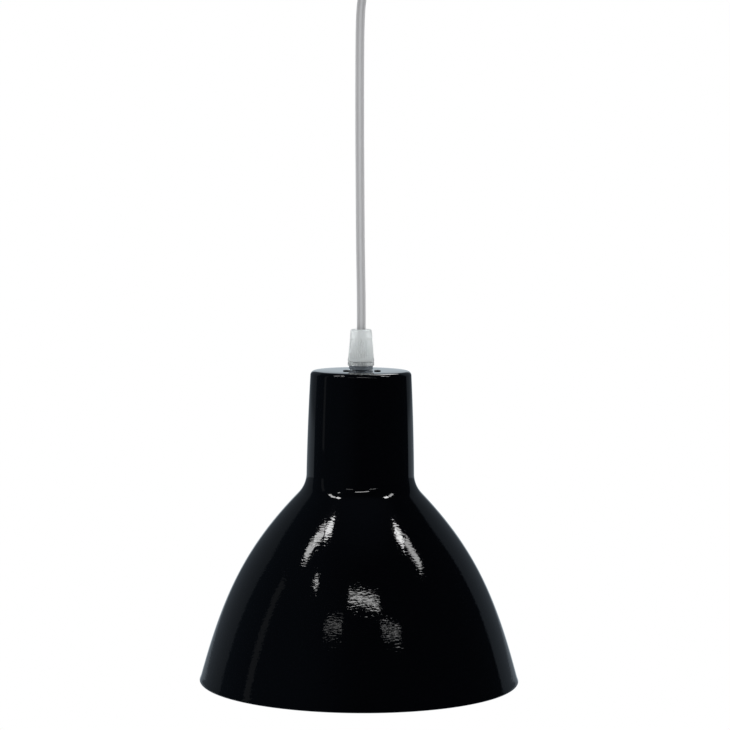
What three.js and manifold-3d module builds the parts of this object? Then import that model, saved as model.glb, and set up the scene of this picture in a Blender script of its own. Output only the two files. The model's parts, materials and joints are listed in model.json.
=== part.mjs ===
// Pendant ceiling light: a bell-shaped metal shade with its lampholder and bulb, hung on a flat twin
// cord from a ceiling rose. Millimetres, +Z up. The origin is the middle of the ceiling face, on top
// of the mounting bracket, and everything hangs below it.
import * as THREE from "three";
import { mergeVertices } from "three/addons/utils/BufferGeometryUtils.js";
import Module from "manifold-3d";

const wasm = await Module();
wasm.setup();

// Heights. The shade's own parts are placed from the flat top of the shade, SHADE_TOP.
const SHADE_TOP = -290;
const GAP = 0.3; // between pieces that touch on the real light

// Shade, from its flat top down to the rim
const RIM_RADIUS = 100;
const SHADE_HEIGHT = 195.6;
const SHEET = 0.8; // metal thickness
const NECK_TOP_RADIUS = 31.55;
const NECK_BOTTOM_RADIUS = 33.65;
const NECK_HEIGHT = 64.6;
const NECK_BULGE = 0.5;
const TOP_EDGE_RADIUS = 3.2;
const SHOULDER_RADIUS = 18;
const SHOULDER_TURN = THREE.MathUtils.degToRad(43.8); // the bell's slope from the vertical, at the shoulder
const RIM_LEAN = THREE.MathUtils.degToRad(14.9); // the bell's slope from the vertical, at the rim
const BELL_PULL = 50; // how far the bell follows its slope at the shoulder
const RIM_PULL = 52.7; // how far it follows its slope at the rim
const RIM_BEAD = 1.1; // radius of the rolled edge
const VENT_OFFSET = 13; // from the axis
const VENT_ANGLES = [226, 322].map(THREE.MathUtils.degToRad);
const VENT_RADIUS = 1.3;
const VENT_LIP = 0.6; // each vent has a pressed lip this high
const VENT_LIP_RADIUS = 2;

// Threaded stem of both cord grips, M10
const STEM_RADIUS = 4.85;
const STEM_LENGTH = 15;
const STEM_BORE = 3.4;
const STEM_HOLE = 5.2; // in the pieces that the stem goes through
const NUT_RADIUS = 8.1; // to the corners
const NUT_HEIGHT = 3.5;
const WASHER_RADIUS = 8.2;
const WASHER_THICKNESS = 1;

// Cord grip: heights above the face that it sits on
const FOOT_RADIUS = 7.4;
const RING_BOTTOM = 2.8;
const RING_TOP = 5;
const RING_RADIUS = 8.2;
const RING_NOTCH = 0.6;
const RING_LUGS = 18;
const SPIGOT_RADIUS = 5.6;
const SPIGOT_TOP = 12;
const CAP_BOTTOM = 5.3;
const FLANGE_TOP = 7.1;
const CAP_CONE_RADIUS = 7.95;
const CAP_TIP_RADIUS = 6.6;
const CAP_EDGE = 1.2;
const GRIP_HEIGHT = 25.4;
const CAP_BORE = 3.15;
const CAVITY_RADIUS = SPIGOT_RADIUS + 0.6;
const CAVITY_SHOULDER = 13.5; // above it the cap's inside narrows
const CAVITY_TOP = 22.5;
const MOUTH_RADIUS = 4.3;
const MOUTH_DEPTH = 1.6;
const COLLET_BOTTOM = SPIGOT_TOP + 0.4;
const COLLET_TOP = 19.4;
const COLLET_RADIUS = 5.5;
const COLLET_TIP_RADIUS = 3.75;
const COLLET_EDGE = 1.2; // height of its straight edge
const COLLET_BORE = 3.05;
const COLLET_SLIT = { width: 0.8, depth: 2.5 };

// Flat twin cord
const CORD_WIDTH = 5.4;
const CORD_THICKNESS = 2.8;
const LEAD_RADIUS = 0.9;
const LEAD_OFFSET = 1.35; // from the middle of the cord to each of its leads
const SHEATH_PAST_STEM = 1.5; // how far the sheath reaches past the end of a stem
const UPPER_TAIL_TOP = 23.2; // where the cord inside each grip starts
const LOWER_TAIL_TOP = 24.4;
const CORD_STEPS = 20;
// The cord's route as [x, z], from the upper grip's mouth to the lower grip's
const CORD_ROUTE = [
  [0, -52.2], [-0.1, -55.5], [-0.8, -61], [-1.45, -68], [-1.8, -77], [-1.9, -88], [-1.92, -100], [-1.88, -112],
  [-1.8, -126], [-1.7, -140], [-1.55, -154], [-1.38, -168], [-1.2, -182], [-1.03, -196], [-0.83, -210],
  [-0.55, -224], [-0.25, -238], [-0.02, -252], [0.05, -264.1],
];

// Ceiling rose
const CANOPY_RADIUS = 48;
const CANOPY_DEPTH = 26;
const CANOPY_CORNER = 6;
const CANOPY_SEAT = -GAP - CANOPY_DEPTH; // the canopy's lower face
const BRACKET_HALF_LENGTH = 44.5;
const BRACKET_WIDTH = 18;
const BRACKET_SHEET = 1.6;
const BRACKET_BEND = 3; // outer radius of the bends
const BRACKET_TAB = 18;
const SLOT_OFFSET = 25;
const SLOT_LENGTH = 12;
const SLOT_WIDTH = 5;
const SIDE_SCREW_HEIGHT = -10;
const SIDE_SCREW_RADIUS = 1.75;
const SIDE_SCREW_HOLE = 2.2;
const SIDE_SCREW_TIP = 39; // from the middle of the canopy
const SIDE_SCREW_HEAD = { radius: 3.6, height: 2.2 };

// Terminal block inside the canopy
const BLOCK_SIZE = { x: 22, y: 14, z: 11 };
const BLOCK_CORNER = 2;
const BLOCK_MIDDLE = { y: 22, z: -11 };
const POLE_OFFSET = 5.5;
const POLE_HOLE = 2.7;
const INSERT_RADIUS = 2.4;
const INSERT_BORE = 1.4;
const INSERT_LENGTH = 12;
const TERMINAL_SCREW_RADIUS = 1.3;
const TERMINAL_SCREW_OFFSET = 3.6;
const TERMINAL_SCREW_CLEARANCE = 0.4;

// Lampholder: depths below the shade's flat top
const HOLDER_COLLAR_TOP = -7;
const HOLDER_COLLAR_BOTTOM = -15;
const HOLDER_COLLAR_RADIUS = 7.4;
const HOLDER_RADIUS = 19;
const HOLDER_WALL = 1.6;
const HOLDER_DOME_BOTTOM = -26;
const HOLDER_SKIRT_BOTTOM = -34;
const HOLDER_BOTTOM = -58;
const HOLDER_BORE = 15;
const INSERT_TOP = -27;
const INSERT_BOTTOM = -34;
const HOLDER_TERMINAL_OFFSET = 8;
const HOLDER_TERMINAL_RADIUS = 2.3;
const HOLDER_TERMINAL_TOP = INSERT_TOP + 4.6;
const TONGUE = { outer: -9, bend: -5, tip: 2.5, width: 5, sheet: 0.5, drop: 1.7 };

// E27 screw thread, cut the same way in the shell and on the bulb's cap
const THREAD_PITCH = 3.629;
const THREAD_HEIGHT = 0.47; // from the middle of the thread to its crest
const SHELL_THREAD_RADIUS = 13;
const CAP_THREAD_RADIUS = 12.6;
const SHELL_TOP = -36;
const SHELL_RADIUS = 14.4;
const BULB_CAP_TOP = -41.3;
const BULB_CAP_BOTTOM = -62;
const BULB_CAP_BORE = 11.4;
const THREAD_TURNS = 5;
const THREAD_ROWS_PER_TURN = 5;

// Bulb
const BULB_RADIUS = 30;
const BULB_BOTTOM = -143;
const BULB_WALL = 1;
const BULB_NECK_RADIUS = 13.4;
const BULB_NECK_TOP = -62.4;
const BULB_JOIN = THREE.MathUtils.degToRad(38); // above the middle of the ball, where the neck starts
const BULB_NECK_PULL = [12, 14]; // how far the neck follows the ball, and the cap
const BULB_CONTACT_RADIUS = 4.4;
const BULB_CONTACT_TOP = INSERT_BOTTOM - GAP - TONGUE.drop - TONGUE.sheet - GAP;
const BULB_CONTACT_BOTTOM = BULB_CONTACT_TOP - 1.2;
const INSULATOR_RADIUS = 11.2;
const INSULATOR_TOP_RADIUS = 5.4;

// Round pieces have this many sides
const FINE = 40;
const ROUND = 20;
const SMALL = 12;
const THREAD_SIDES = 20;

const FINISHES = {
  glossBlack: { color: 0x050507, roughness: 0.12, metalness: 0 },
  zincSteel: { color: 0xb9bcc0, roughness: 0.35, metalness: 1 },
  brass: { color: 0xc9a24a, roughness: 0.3, metalness: 1 },
  nickel: { color: 0xc8c6c0, roughness: 0.25, metalness: 1 },
  clearPlastic: { color: 0xdfe4e6, roughness: 0.35, metalness: 0 },
  clearCord: { color: 0xa8a6a6, roughness: 0.4, metalness: 0 },
  whitePlastic: { color: 0xf0efea, roughness: 0.45, metalness: 0 },
  ceramic: { color: 0xeeeae0, roughness: 0.5, metalness: 0 },
  blackGlass: { color: 0x0c0c10, roughness: 0.15, metalness: 0 },
  opalGlass: { color: 0xf6f4ee, roughness: 0.25, metalness: 0 },
  brownWire: { color: 0x6b3a1f, roughness: 0.45, metalness: 0 },
  blueWire: { color: 0x1f5fae, roughness: 0.45, metalness: 0 },
};

// A named mesh with a material of its own
function piece(name, geometry, finish) {
  const mesh = new THREE.Mesh(geometry, new THREE.MeshStandardMaterial(FINISHES[finish]));
  mesh.name = name;
  return mesh;
}

// An outline of [radius, height] points turned about Z. The outline goes up the outside and down the
// inside, and closes on itself unless it starts on the axis.
function turned(outline, sides = ROUND) {
  const points = outline.map(([radius, height]) => new THREE.Vector2(radius, height));
  if (points[0].x > 0) points.push(points[0].clone());
  return new THREE.LatheGeometry(points, sides).rotateX(Math.PI / 2);
}

// Points of a curve in the [radius, height] plane
function sampled(curve, steps) {
  return curve.getPoints(steps).map((point) => [point.x, point.y]);
}

// A quarter circle or less, from one angle to another in degrees, as [radius, height] points
function arc(radius, height, size, fromDegrees, toDegrees, steps) {
  const [from, to] = [fromDegrees, toDegrees].map(THREE.MathUtils.degToRad);
  return sampled(new THREE.EllipseCurve(radius, height, size, size, from, to, to < from), steps);
}

function asSolid(geometry) {
  const bare = geometry.clone();
  bare.deleteAttribute("normal");
  bare.deleteAttribute("uv");
  const merged = mergeVertices(bare, 1e-4);
  const mesh = new wasm.Mesh({
    numProp: 3,
    vertProperties: merged.getAttribute("position").array,
    triVerts: new Uint32Array(merged.index.array),
  });
  return new wasm.Manifold(mesh);
}

function asGeometry(solid) {
  const mesh = solid.getMesh();
  const geometry = new THREE.BufferGeometry();
  geometry.setAttribute("position", new THREE.BufferAttribute(mesh.vertProperties, 3));
  geometry.setIndex(new THREE.BufferAttribute(mesh.triVerts, 1));
  geometry.computeVertexNormals();
  return geometry;
}

function cut(geometry, cutters) {
  return asGeometry(cutters.reduce((left, cutter) => left.subtract(asSolid(cutter)), asSolid(geometry)));
}

function join(geometry, other) {
  return asGeometry(asSolid(geometry).add(asSolid(other)));
}

// A round bar between two heights, with its axis on x, y
function bar(radius, bottom, top, x = 0, y = 0, sides = SMALL) {
  return new THREE.CylinderGeometry(radius, radius, top - bottom, sides)
    .rotateX(Math.PI / 2)
    .translate(x, y, (top + bottom) / 2);
}

// A round bar along X, between two places
function crossBar(radius, from, to, z, sides = SMALL) {
  return new THREE.CylinderGeometry(radius, radius, to - from, sides)
    .rotateZ(Math.PI / 2)
    .translate((from + to) / 2, 0, z);
}

function flatPlate(shape, bottom, top) {
  const settings = { depth: top - bottom, bevelEnabled: false, curveSegments: 6 };
  return new THREE.ExtrudeGeometry(shape, settings).translate(0, 0, bottom);
}

// A shape swept along a route of [x, y, z] points
function swept(section, points, steps, curveSegments) {
  const route = new THREE.CatmullRomCurve3(points.map((point) => new THREE.Vector3(...point)));
  const settings = { steps, extrudePath: route, bevelEnabled: false, curveSegments };
  return new THREE.ExtrudeGeometry(section, settings);
}

function circle(radius) {
  const shape = new THREE.Shape();
  return shape.absarc(0, 0, radius, 0, 2 * Math.PI);
}

// A bar with round ends, long along y
function roundEnded(length, width) {
  const half = (length - width) / 2;
  const shape = new THREE.Shape();
  shape.absarc(0, half, width / 2, 0, Math.PI);
  shape.absarc(0, -half, width / 2, Math.PI, 2 * Math.PI);
  return shape;
}

// Ceiling rose

function mountingBracket() {
  const inner = BRACKET_HALF_LENGTH - BRACKET_SHEET;
  const innerBend = BRACKET_BEND - BRACKET_SHEET;
  const bendX = BRACKET_HALF_LENGTH - BRACKET_BEND;
  const strap = new THREE.Shape();
  strap.moveTo(-BRACKET_HALF_LENGTH, -BRACKET_TAB);
  strap.lineTo(-inner, -BRACKET_TAB);
  strap.absarc(-bendX, -BRACKET_BEND, innerBend, Math.PI, Math.PI / 2, true);
  strap.absarc(bendX, -BRACKET_BEND, innerBend, Math.PI / 2, 0, true);
  strap.lineTo(inner, -BRACKET_TAB);
  strap.lineTo(BRACKET_HALF_LENGTH, -BRACKET_TAB);
  strap.absarc(bendX, -BRACKET_BEND, BRACKET_BEND, 0, Math.PI / 2);
  strap.absarc(-bendX, -BRACKET_BEND, BRACKET_BEND, Math.PI / 2, Math.PI);
  const settings = { depth: BRACKET_WIDTH, bevelEnabled: false, curveSegments: 4 };
  const bent = new THREE.ExtrudeGeometry(strap, settings)
    .rotateX(Math.PI / 2)
    .translate(0, BRACKET_WIDTH / 2, 0);
  const slot = flatPlate(roundEnded(SLOT_LENGTH, SLOT_WIDTH), -BRACKET_SHEET - 1, 1).rotateZ(Math.PI / 2);
  const reach = BRACKET_HALF_LENGTH + 1;
  return cut(bent, [
    slot.clone().translate(-SLOT_OFFSET, 0, 0),
    slot.clone().translate(SLOT_OFFSET, 0, 0),
    crossBar(SIDE_SCREW_HOLE, -reach, reach, SIDE_SCREW_HEIGHT),
  ]);
}

function canopy() {
  const inside = CANOPY_RADIUS - SHEET;
  const cornerRadius = CANOPY_RADIUS - CANOPY_CORNER;
  const cornerHeight = CANOPY_SEAT + CANOPY_CORNER;
  const cup = turned(
    [
      [STEM_HOLE, CANOPY_SEAT],
      ...arc(cornerRadius, cornerHeight, CANOPY_CORNER, -90, 0, 3),
      [CANOPY_RADIUS, -GAP],
      [inside, -GAP],
      ...arc(cornerRadius, cornerHeight, CANOPY_CORNER - SHEET, 0, -90, 3),
      [STEM_HOLE, CANOPY_SEAT + SHEET],
    ],
    FINE,
  );
  const reach = CANOPY_RADIUS + 1;
  return cut(cup, [
    crossBar(SIDE_SCREW_HOLE, -reach, -reach + 4, SIDE_SCREW_HEIGHT),
    crossBar(SIDE_SCREW_HOLE, reach - 4, reach, SIDE_SCREW_HEIGHT),
  ]);
}

// A pan-head screw with a cross recess, its head up and its shank starting at height 0
function sideScrew() {
  const head = SIDE_SCREW_HEAD;
  const length = CANOPY_RADIUS + GAP - SIDE_SCREW_TIP;
  const top = length + head.height;
  const screw = turned([
    [0, 0], [SIDE_SCREW_RADIUS, 0], [SIDE_SCREW_RADIUS, length], [head.radius, length],
    [head.radius, length + head.height * 0.55], [head.radius * 0.6, top], [0, top],
  ], SMALL);
  const recess = new THREE.BoxGeometry(head.radius, 0.8, head.height).translate(0, 0, top);
  return cut(screw, [recess, recess.clone().rotateZ(Math.PI / 2)]);
}

function terminalBlock() {
  const { x, y, z } = BLOCK_SIZE;
  const [across, up] = [x / 2 - BLOCK_CORNER, z / 2 - BLOCK_CORNER];
  const outline = new THREE.Shape();
  [[across, up], [-across, up], [-across, -up], [across, -up]].forEach(([cornerX, cornerY], quarter) => {
    outline.absarc(cornerX, cornerY, BLOCK_CORNER, (quarter * Math.PI) / 2, ((quarter + 1) * Math.PI) / 2);
  });
  for (const side of [-1, 1]) {
    outline.holes.push(new THREE.Path().absarc(side * POLE_OFFSET, 0, POLE_HOLE, 0, 2 * Math.PI, true));
  }
  const body = new THREE.ExtrudeGeometry(outline, { depth: y, bevelEnabled: false, curveSegments: 6 })
    .rotateX(Math.PI / 2)
    .translate(0, BLOCK_MIDDLE.y + y / 2, BLOCK_MIDDLE.z);
  const wells = terminalScrewPlaces().map((place) =>
    screwHole(place, BLOCK_MIDDLE.z - z));
  return cut(body, wells);
}

// Two screws in each of the two poles
function terminalScrewPlaces() {
  const places = [];
  for (const x of [-POLE_OFFSET, POLE_OFFSET]) {
    for (const along of [-TERMINAL_SCREW_OFFSET, TERMINAL_SCREW_OFFSET]) {
      places.push({ x, y: BLOCK_MIDDLE.y + along });
    }
  }
  return places;
}

// Room for a terminal screw, from a height up to the middle of its pole
function screwHole(place, bottom) {
  const radius = TERMINAL_SCREW_RADIUS + TERMINAL_SCREW_CLEARANCE;
  return bar(radius, bottom, BLOCK_MIDDLE.z, place.x, place.y, 8);
}

function terminalInsert(x) {
  const half = INSERT_LENGTH / 2;
  const sleeve = turned(
    [[INSERT_BORE, -half], [INSERT_RADIUS, -half], [INSERT_RADIUS, half], [INSERT_BORE, half]],
    SMALL,
  ).rotateX(Math.PI / 2).translate(x, BLOCK_MIDDLE.y, BLOCK_MIDDLE.z);
  const holes = terminalScrewPlaces()
    .filter((place) => place.x === x)
    .map((place) => screwHole(place, BLOCK_MIDDLE.z - 2 * INSERT_RADIUS));
  return cut(sleeve, holes);
}

// A slotted grub screw whose tip stops just short of the lead it clamps
function terminalScrew(place) {
  const bottom = BLOCK_MIDDLE.z - BLOCK_SIZE.z / 2 + GAP;
  const top = BLOCK_MIDDLE.z - LEAD_RADIUS - 1.5 * GAP;
  const slot = new THREE.BoxGeometry(4, 0.5, 1.4).translate(place.x, place.y, bottom);
  return cut(bar(TERMINAL_SCREW_RADIUS, bottom, top, place.x, place.y, 8), [slot]);
}

// From the end of the cord's sheath, over the stem and into the pole at x
function canopyLead(x) {
  const side = Math.sign(x);
  const sheathEnd = CANOPY_SEAT + STEM_LENGTH + SHEATH_PAST_STEM;
  return swept(circle(LEAD_RADIUS), [
    [side * LEAD_OFFSET, 0, sheathEnd + GAP],
    [side * 1.5, 0.6, sheathEnd + 3],
    [side * 3, 6, sheathEnd + 4],
    [x, 11, sheathEnd + 1.5],
    [x, BLOCK_MIDDLE.y - BLOCK_SIZE.y / 2, BLOCK_MIDDLE.z],
    [x, BLOCK_MIDDLE.y - 1, BLOCK_MIDDLE.z],
  ], 12, 4);
}

// Cord grip. Heights are above the face that it sits on; the stem goes down through that face.

function lugRing() {
  const shape = new THREE.Shape();
  const step = (2 * Math.PI) / RING_LUGS;
  for (let lug = 0; lug < RING_LUGS; lug++) {
    const corners = [[0, RING_RADIUS], [0.5, RING_RADIUS], [0.62, RING_RADIUS - RING_NOTCH],
      [0.88, RING_RADIUS - RING_NOTCH]];
    for (const [part, radius] of corners) {
      const angle = (lug + part) * step;
      const [x, y] = [radius * Math.cos(angle), radius * Math.sin(angle)];
      if (lug === 0 && part === 0) shape.moveTo(x, y);
      else shape.lineTo(x, y);
    }
  }
  shape.holes.push(new THREE.Path().absarc(0, 0, STEM_RADIUS, 0, 2 * Math.PI, true));
  return flatPlate(shape, RING_BOTTOM, RING_TOP);
}

function gripBase() {
  const core = turned([
    [STEM_BORE, -STEM_LENGTH], [STEM_RADIUS, -STEM_LENGTH], [STEM_RADIUS, GAP], [FOOT_RADIUS, GAP],
    [FOOT_RADIUS, RING_TOP - 0.4], [SPIGOT_RADIUS, RING_TOP - 0.4], [SPIGOT_RADIUS, SPIGOT_TOP],
    [STEM_BORE, SPIGOT_TOP],
  ]);
  return join(core, lugRing());
}

function gripCollet() {
  const cone = turned([
    [COLLET_BORE, COLLET_BOTTOM],
    [COLLET_RADIUS, COLLET_BOTTOM],
    [COLLET_RADIUS, COLLET_BOTTOM + COLLET_EDGE],
    [COLLET_TIP_RADIUS, COLLET_TOP],
    [COLLET_BORE, COLLET_TOP],
  ]);
  const slit = new THREE.BoxGeometry(2 * COLLET_RADIUS + 1, COLLET_SLIT.width, 2 * COLLET_SLIT.depth)
    .translate(0, 0, COLLET_TOP);
  return cut(cone, [slit, slit.clone().rotateZ(Math.PI / 2)]);
}

function gripCap() {
  const mouthCurve = new THREE.QuadraticBezierCurve(
    new THREE.Vector2(MOUTH_RADIUS, GRIP_HEIGHT),
    new THREE.Vector2(CAP_BORE, GRIP_HEIGHT),
    new THREE.Vector2(CAP_BORE, GRIP_HEIGHT - MOUTH_DEPTH),
  );
  return turned([
    [CAVITY_RADIUS, CAP_BOTTOM],
    [RING_RADIUS, CAP_BOTTOM],
    [RING_RADIUS, FLANGE_TOP],
    [CAP_CONE_RADIUS, FLANGE_TOP + 0.2],
    ...arc(CAP_TIP_RADIUS - CAP_EDGE, GRIP_HEIGHT - CAP_EDGE, CAP_EDGE, 0, 90, 3),
    ...sampled(mouthCurve, 3),
    [CAP_BORE, CAVITY_TOP],
    [CAVITY_RADIUS, CAVITY_SHOULDER],
  ]);
}

function lockNut(bottom) {
  const shape = new THREE.Shape();
  for (let corner = 0; corner < 6; corner++) {
    const angle = (corner * Math.PI) / 3;
    const [x, y] = [NUT_RADIUS * Math.cos(angle), NUT_RADIUS * Math.sin(angle)];
    if (corner === 0) shape.moveTo(x, y);
    else shape.lineTo(x, y);
  }
  shape.holes.push(new THREE.Path().absarc(0, 0, STEM_HOLE, 0, 2 * Math.PI, true));
  return flatPlate(shape, bottom, bottom + NUT_HEIGHT);
}

// The flat cord held inside a grip, from inside the cap to just past the stem's end
function cordTail(top) {
  const end = -STEM_LENGTH - SHEATH_PAST_STEM;
  return swept(roundEnded(CORD_WIDTH, CORD_THICKNESS), [[0, 0, top], [0, 0, 0], [0, 0, end]], 2, 2);
}

function hangingCord() {
  const route = CORD_ROUTE.map(([x, z]) => [x, 0, z]);
  return swept(roundEnded(CORD_WIDTH, CORD_THICKNESS), route, CORD_STEPS, 2);
}

// Shade

// The outside of the shade from just above the rim to the flat top, as [radius, height] points
function shadeOutside() {
  const shoulderEnd = new THREE.Vector2(
    NECK_BOTTOM_RADIUS + SHOULDER_RADIUS * (1 - Math.cos(SHOULDER_TURN)),
    -NECK_HEIGHT - SHOULDER_RADIUS * Math.sin(SHOULDER_TURN),
  );
  const rim = new THREE.Vector2(RIM_RADIUS, -SHADE_HEIGHT);
  const bell = new THREE.CubicBezierCurve(
    rim,
    new THREE.Vector2(rim.x - RIM_PULL * Math.sin(RIM_LEAN), rim.y + RIM_PULL * Math.cos(RIM_LEAN)),
    new THREE.Vector2(
      shoulderEnd.x + BELL_PULL * Math.sin(SHOULDER_TURN),
      shoulderEnd.y - BELL_PULL * Math.cos(SHOULDER_TURN),
    ),
    shoulderEnd,
  );
  const turn = THREE.MathUtils.radToDeg(SHOULDER_TURN);
  const neck = new THREE.QuadraticBezierCurve(
    new THREE.Vector2(NECK_BOTTOM_RADIUS, -NECK_HEIGHT),
    new THREE.Vector2((NECK_TOP_RADIUS + NECK_BOTTOM_RADIUS) / 2 + NECK_BULGE, -NECK_HEIGHT / 2),
    new THREE.Vector2(NECK_TOP_RADIUS, -TOP_EDGE_RADIUS),
  );
  const flatRadius = NECK_TOP_RADIUS - TOP_EDGE_RADIUS;
  return [
    ...sampled(bell, 8).slice(1),
    ...arc(NECK_BOTTOM_RADIUS + SHOULDER_RADIUS, -NECK_HEIGHT, SHOULDER_RADIUS, 180 + turn, 180, 3).slice(1),
    ...sampled(neck, 2).slice(1),
    ...arc(flatRadius, -TOP_EDGE_RADIUS, TOP_EDGE_RADIUS, 0, 90, 3).slice(1),
  ];
}

// The same outline moved inwards by the metal's thickness, square to the surface
function movedIn(outline) {
  return outline.map(([radius, height], i) => {
    const [r0, z0] = outline[Math.max(i - 1, 0)];
    const [r1, z1] = outline[Math.min(i + 1, outline.length - 1)];
    const length = Math.hypot(r1 - r0, z1 - z0);
    return [radius - (SHEET * (z1 - z0)) / length, height + (SHEET * (r1 - r0)) / length];
  });
}

function shade() {
  const outside = shadeOutside();
  const flatPoint = outside[outside.length - 1];
  const inside = movedIn(outside).slice(0, -1).reverse();
  const bead = arc(RIM_RADIUS - RIM_BEAD, RIM_BEAD - SHADE_HEIGHT, RIM_BEAD, 150, 360, 6);
  const shell = turned(
    [...bead, ...outside, [STEM_HOLE, 0], [STEM_HOLE, -SHEET], [flatPoint[0], -SHEET], ...inside],
    FINE,
  );
  const vents = (radius, bottom, top) => VENT_ANGLES.map((angle) =>
    bar(radius, bottom, top, VENT_OFFSET * Math.cos(angle), VENT_OFFSET * Math.sin(angle)));
  const lipped = vents(VENT_LIP_RADIUS, -SHEET / 2, VENT_LIP).reduce(join, shell);
  return cut(lipped, vents(VENT_RADIUS, -SHEET - 1, VENT_LIP + 1));
}

// Lampholder and its wiring, below the shade's flat top

function lockWasher() {
  const top = -SHEET - GAP;
  const bottom = top - WASHER_THICKNESS;
  return turned([[STEM_HOLE, bottom], [WASHER_RADIUS, bottom], [WASHER_RADIUS, top], [STEM_HOLE, top]]);
}

function lampholderCap() {
  const domeRadius = HOLDER_RADIUS - HOLDER_COLLAR_RADIUS;
  const domeHeight = HOLDER_COLLAR_BOTTOM + 1 - HOLDER_DOME_BOTTOM;
  const dome = (inset, from, to) => sampled(
    new THREE.EllipseCurve(
      HOLDER_COLLAR_RADIUS, HOLDER_DOME_BOTTOM, domeRadius - inset, domeHeight - inset, from, to, to < from,
    ),
    5,
  );
  const inner = HOLDER_RADIUS - HOLDER_WALL;
  return turned([
    [inner, HOLDER_SKIRT_BOTTOM],
    [HOLDER_RADIUS, HOLDER_SKIRT_BOTTOM],
    ...dome(0, 0, Math.PI / 2),
    [HOLDER_COLLAR_RADIUS, HOLDER_COLLAR_TOP],
    [STEM_HOLE, HOLDER_COLLAR_TOP],
    [STEM_HOLE, HOLDER_COLLAR_BOTTOM - HOLDER_WALL + 1],
    ...dome(HOLDER_WALL, Math.PI / 2, 0),
  ]);
}

function lampholderBody() {
  const spigot = HOLDER_RADIUS - HOLDER_WALL - 0.4;
  const shoulder = HOLDER_SKIRT_BOTTOM - GAP;
  return turned([
    [HOLDER_BORE, HOLDER_BOTTOM],
    [HOLDER_RADIUS - 1.4, HOLDER_BOTTOM],
    [HOLDER_RADIUS - 0.6, HOLDER_BOTTOM + 0.8],
    [HOLDER_RADIUS, shoulder],
    [spigot, shoulder],
    [spigot, HOLDER_DOME_BOTTOM - 0.6],
    [HOLDER_BORE, HOLDER_DOME_BOTTOM - 0.6],
  ]);
}

function lampholderInsert() {
  const radius = HOLDER_BORE - 0.4;
  return turned([[0, INSERT_BOTTOM], [radius, INSERT_BOTTOM], [radius, INSERT_TOP], [0, INSERT_TOP]]);
}

// Moves the turned surface of one radius in and out along a right-hand screw
function addThread(geometry, radius) {
  const places = geometry.getAttribute("position");
  for (let i = 0; i < places.count; i++) {
    const [x, y, z] = [places.getX(i), places.getY(i), places.getZ(i)];
    const distance = Math.hypot(x, y);
    if (Math.abs(distance - radius) > 0.01) continue;
    const phase = (2 * Math.PI * z) / THREAD_PITCH - Math.atan2(y, x);
    const grown = 1 + (THREAD_HEIGHT * Math.cos(phase)) / distance;
    places.setXY(i, x * grown, y * grown);
  }
  return geometry;
}

// Heights of the thread's rows, from the top down
function threadRows(top) {
  const count = THREAD_TURNS * THREAD_ROWS_PER_TURN;
  return Array.from({ length: count + 1 }, (_, row) => top - (row * THREAD_PITCH) / THREAD_ROWS_PER_TURN);
}

function lampholderShell() {
  const rows = threadRows(SHELL_TOP - 1);
  const bottom = rows[rows.length - 1] - 0.6;
  return addThread(
    turned([
      [SHELL_RADIUS - 0.5, bottom],
      [SHELL_RADIUS, bottom],
      [SHELL_RADIUS, SHELL_TOP],
      [SHELL_RADIUS - 0.5, SHELL_TOP],
      ...rows.map((height) => [SHELL_THREAD_RADIUS, height]),
    ], THREAD_SIDES),
    SHELL_THREAD_RADIUS,
  );
}

// A brass tongue under the insert that presses on the bulb's contact
function centreContact() {
  const { outer, bend, tip, width, sheet, drop } = TONGUE;
  const top = INSERT_BOTTOM - GAP;
  const under = [[outer, top - sheet], [bend, top - sheet], [0, top - drop], [tip, top - drop]];
  const over = [[tip, top - drop + sheet], [0, top - drop + sheet], [bend, top], [outer, top]];
  const strip = new THREE.Shape([...under, ...over].map((corner) => new THREE.Vector2(...corner)));
  return new THREE.ExtrudeGeometry(strip, { depth: width, bevelEnabled: false })
    .rotateX(Math.PI / 2)
    .translate(0, width / 2, 0);
}

function holderTerminal(x) {
  const post = bar(HOLDER_TERMINAL_RADIUS, INSERT_TOP + GAP, HOLDER_TERMINAL_TOP, x);
  const slot = new THREE.BoxGeometry(3 * HOLDER_TERMINAL_RADIUS, 0.6, 1.6)
    .translate(x, 0, HOLDER_TERMINAL_TOP);
  return cut(post, [slot]);
}

// From the end of the cord's sheath to the terminal at x
function holderLead(x) {
  const side = Math.sign(x);
  const start = -STEM_LENGTH - SHEATH_PAST_STEM - GAP;
  return swept(circle(LEAD_RADIUS), [
    [side * LEAD_OFFSET, 0, start],
    [side * 1.5, 0, start - 1.2],
    [side * 4.6, 0, start - 2.2],
    [x, 0, start - 3.4],
    [x, 0, HOLDER_TERMINAL_TOP + GAP],
  ], 9, 4);
}

// Bulb, in the same frame as the lampholder

function bulbContact() {
  const [top, bottom] = [BULB_CONTACT_TOP, BULB_CONTACT_BOTTOM];
  return turned([
    [0, bottom], [BULB_CONTACT_RADIUS, bottom], [BULB_CONTACT_RADIUS, top - 0.7],
    [BULB_CONTACT_RADIUS - 1.4, top], [0, top],
  ], SMALL);
}

function bulbInsulator() {
  const [top, bottom] = [BULB_CONTACT_BOTTOM - GAP, BULB_CAP_TOP + GAP];
  return turned([
    [0, bottom], [INSULATOR_RADIUS, bottom], [INSULATOR_TOP_RADIUS, top], [0, top],
  ], THREAD_SIDES);
}

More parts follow.
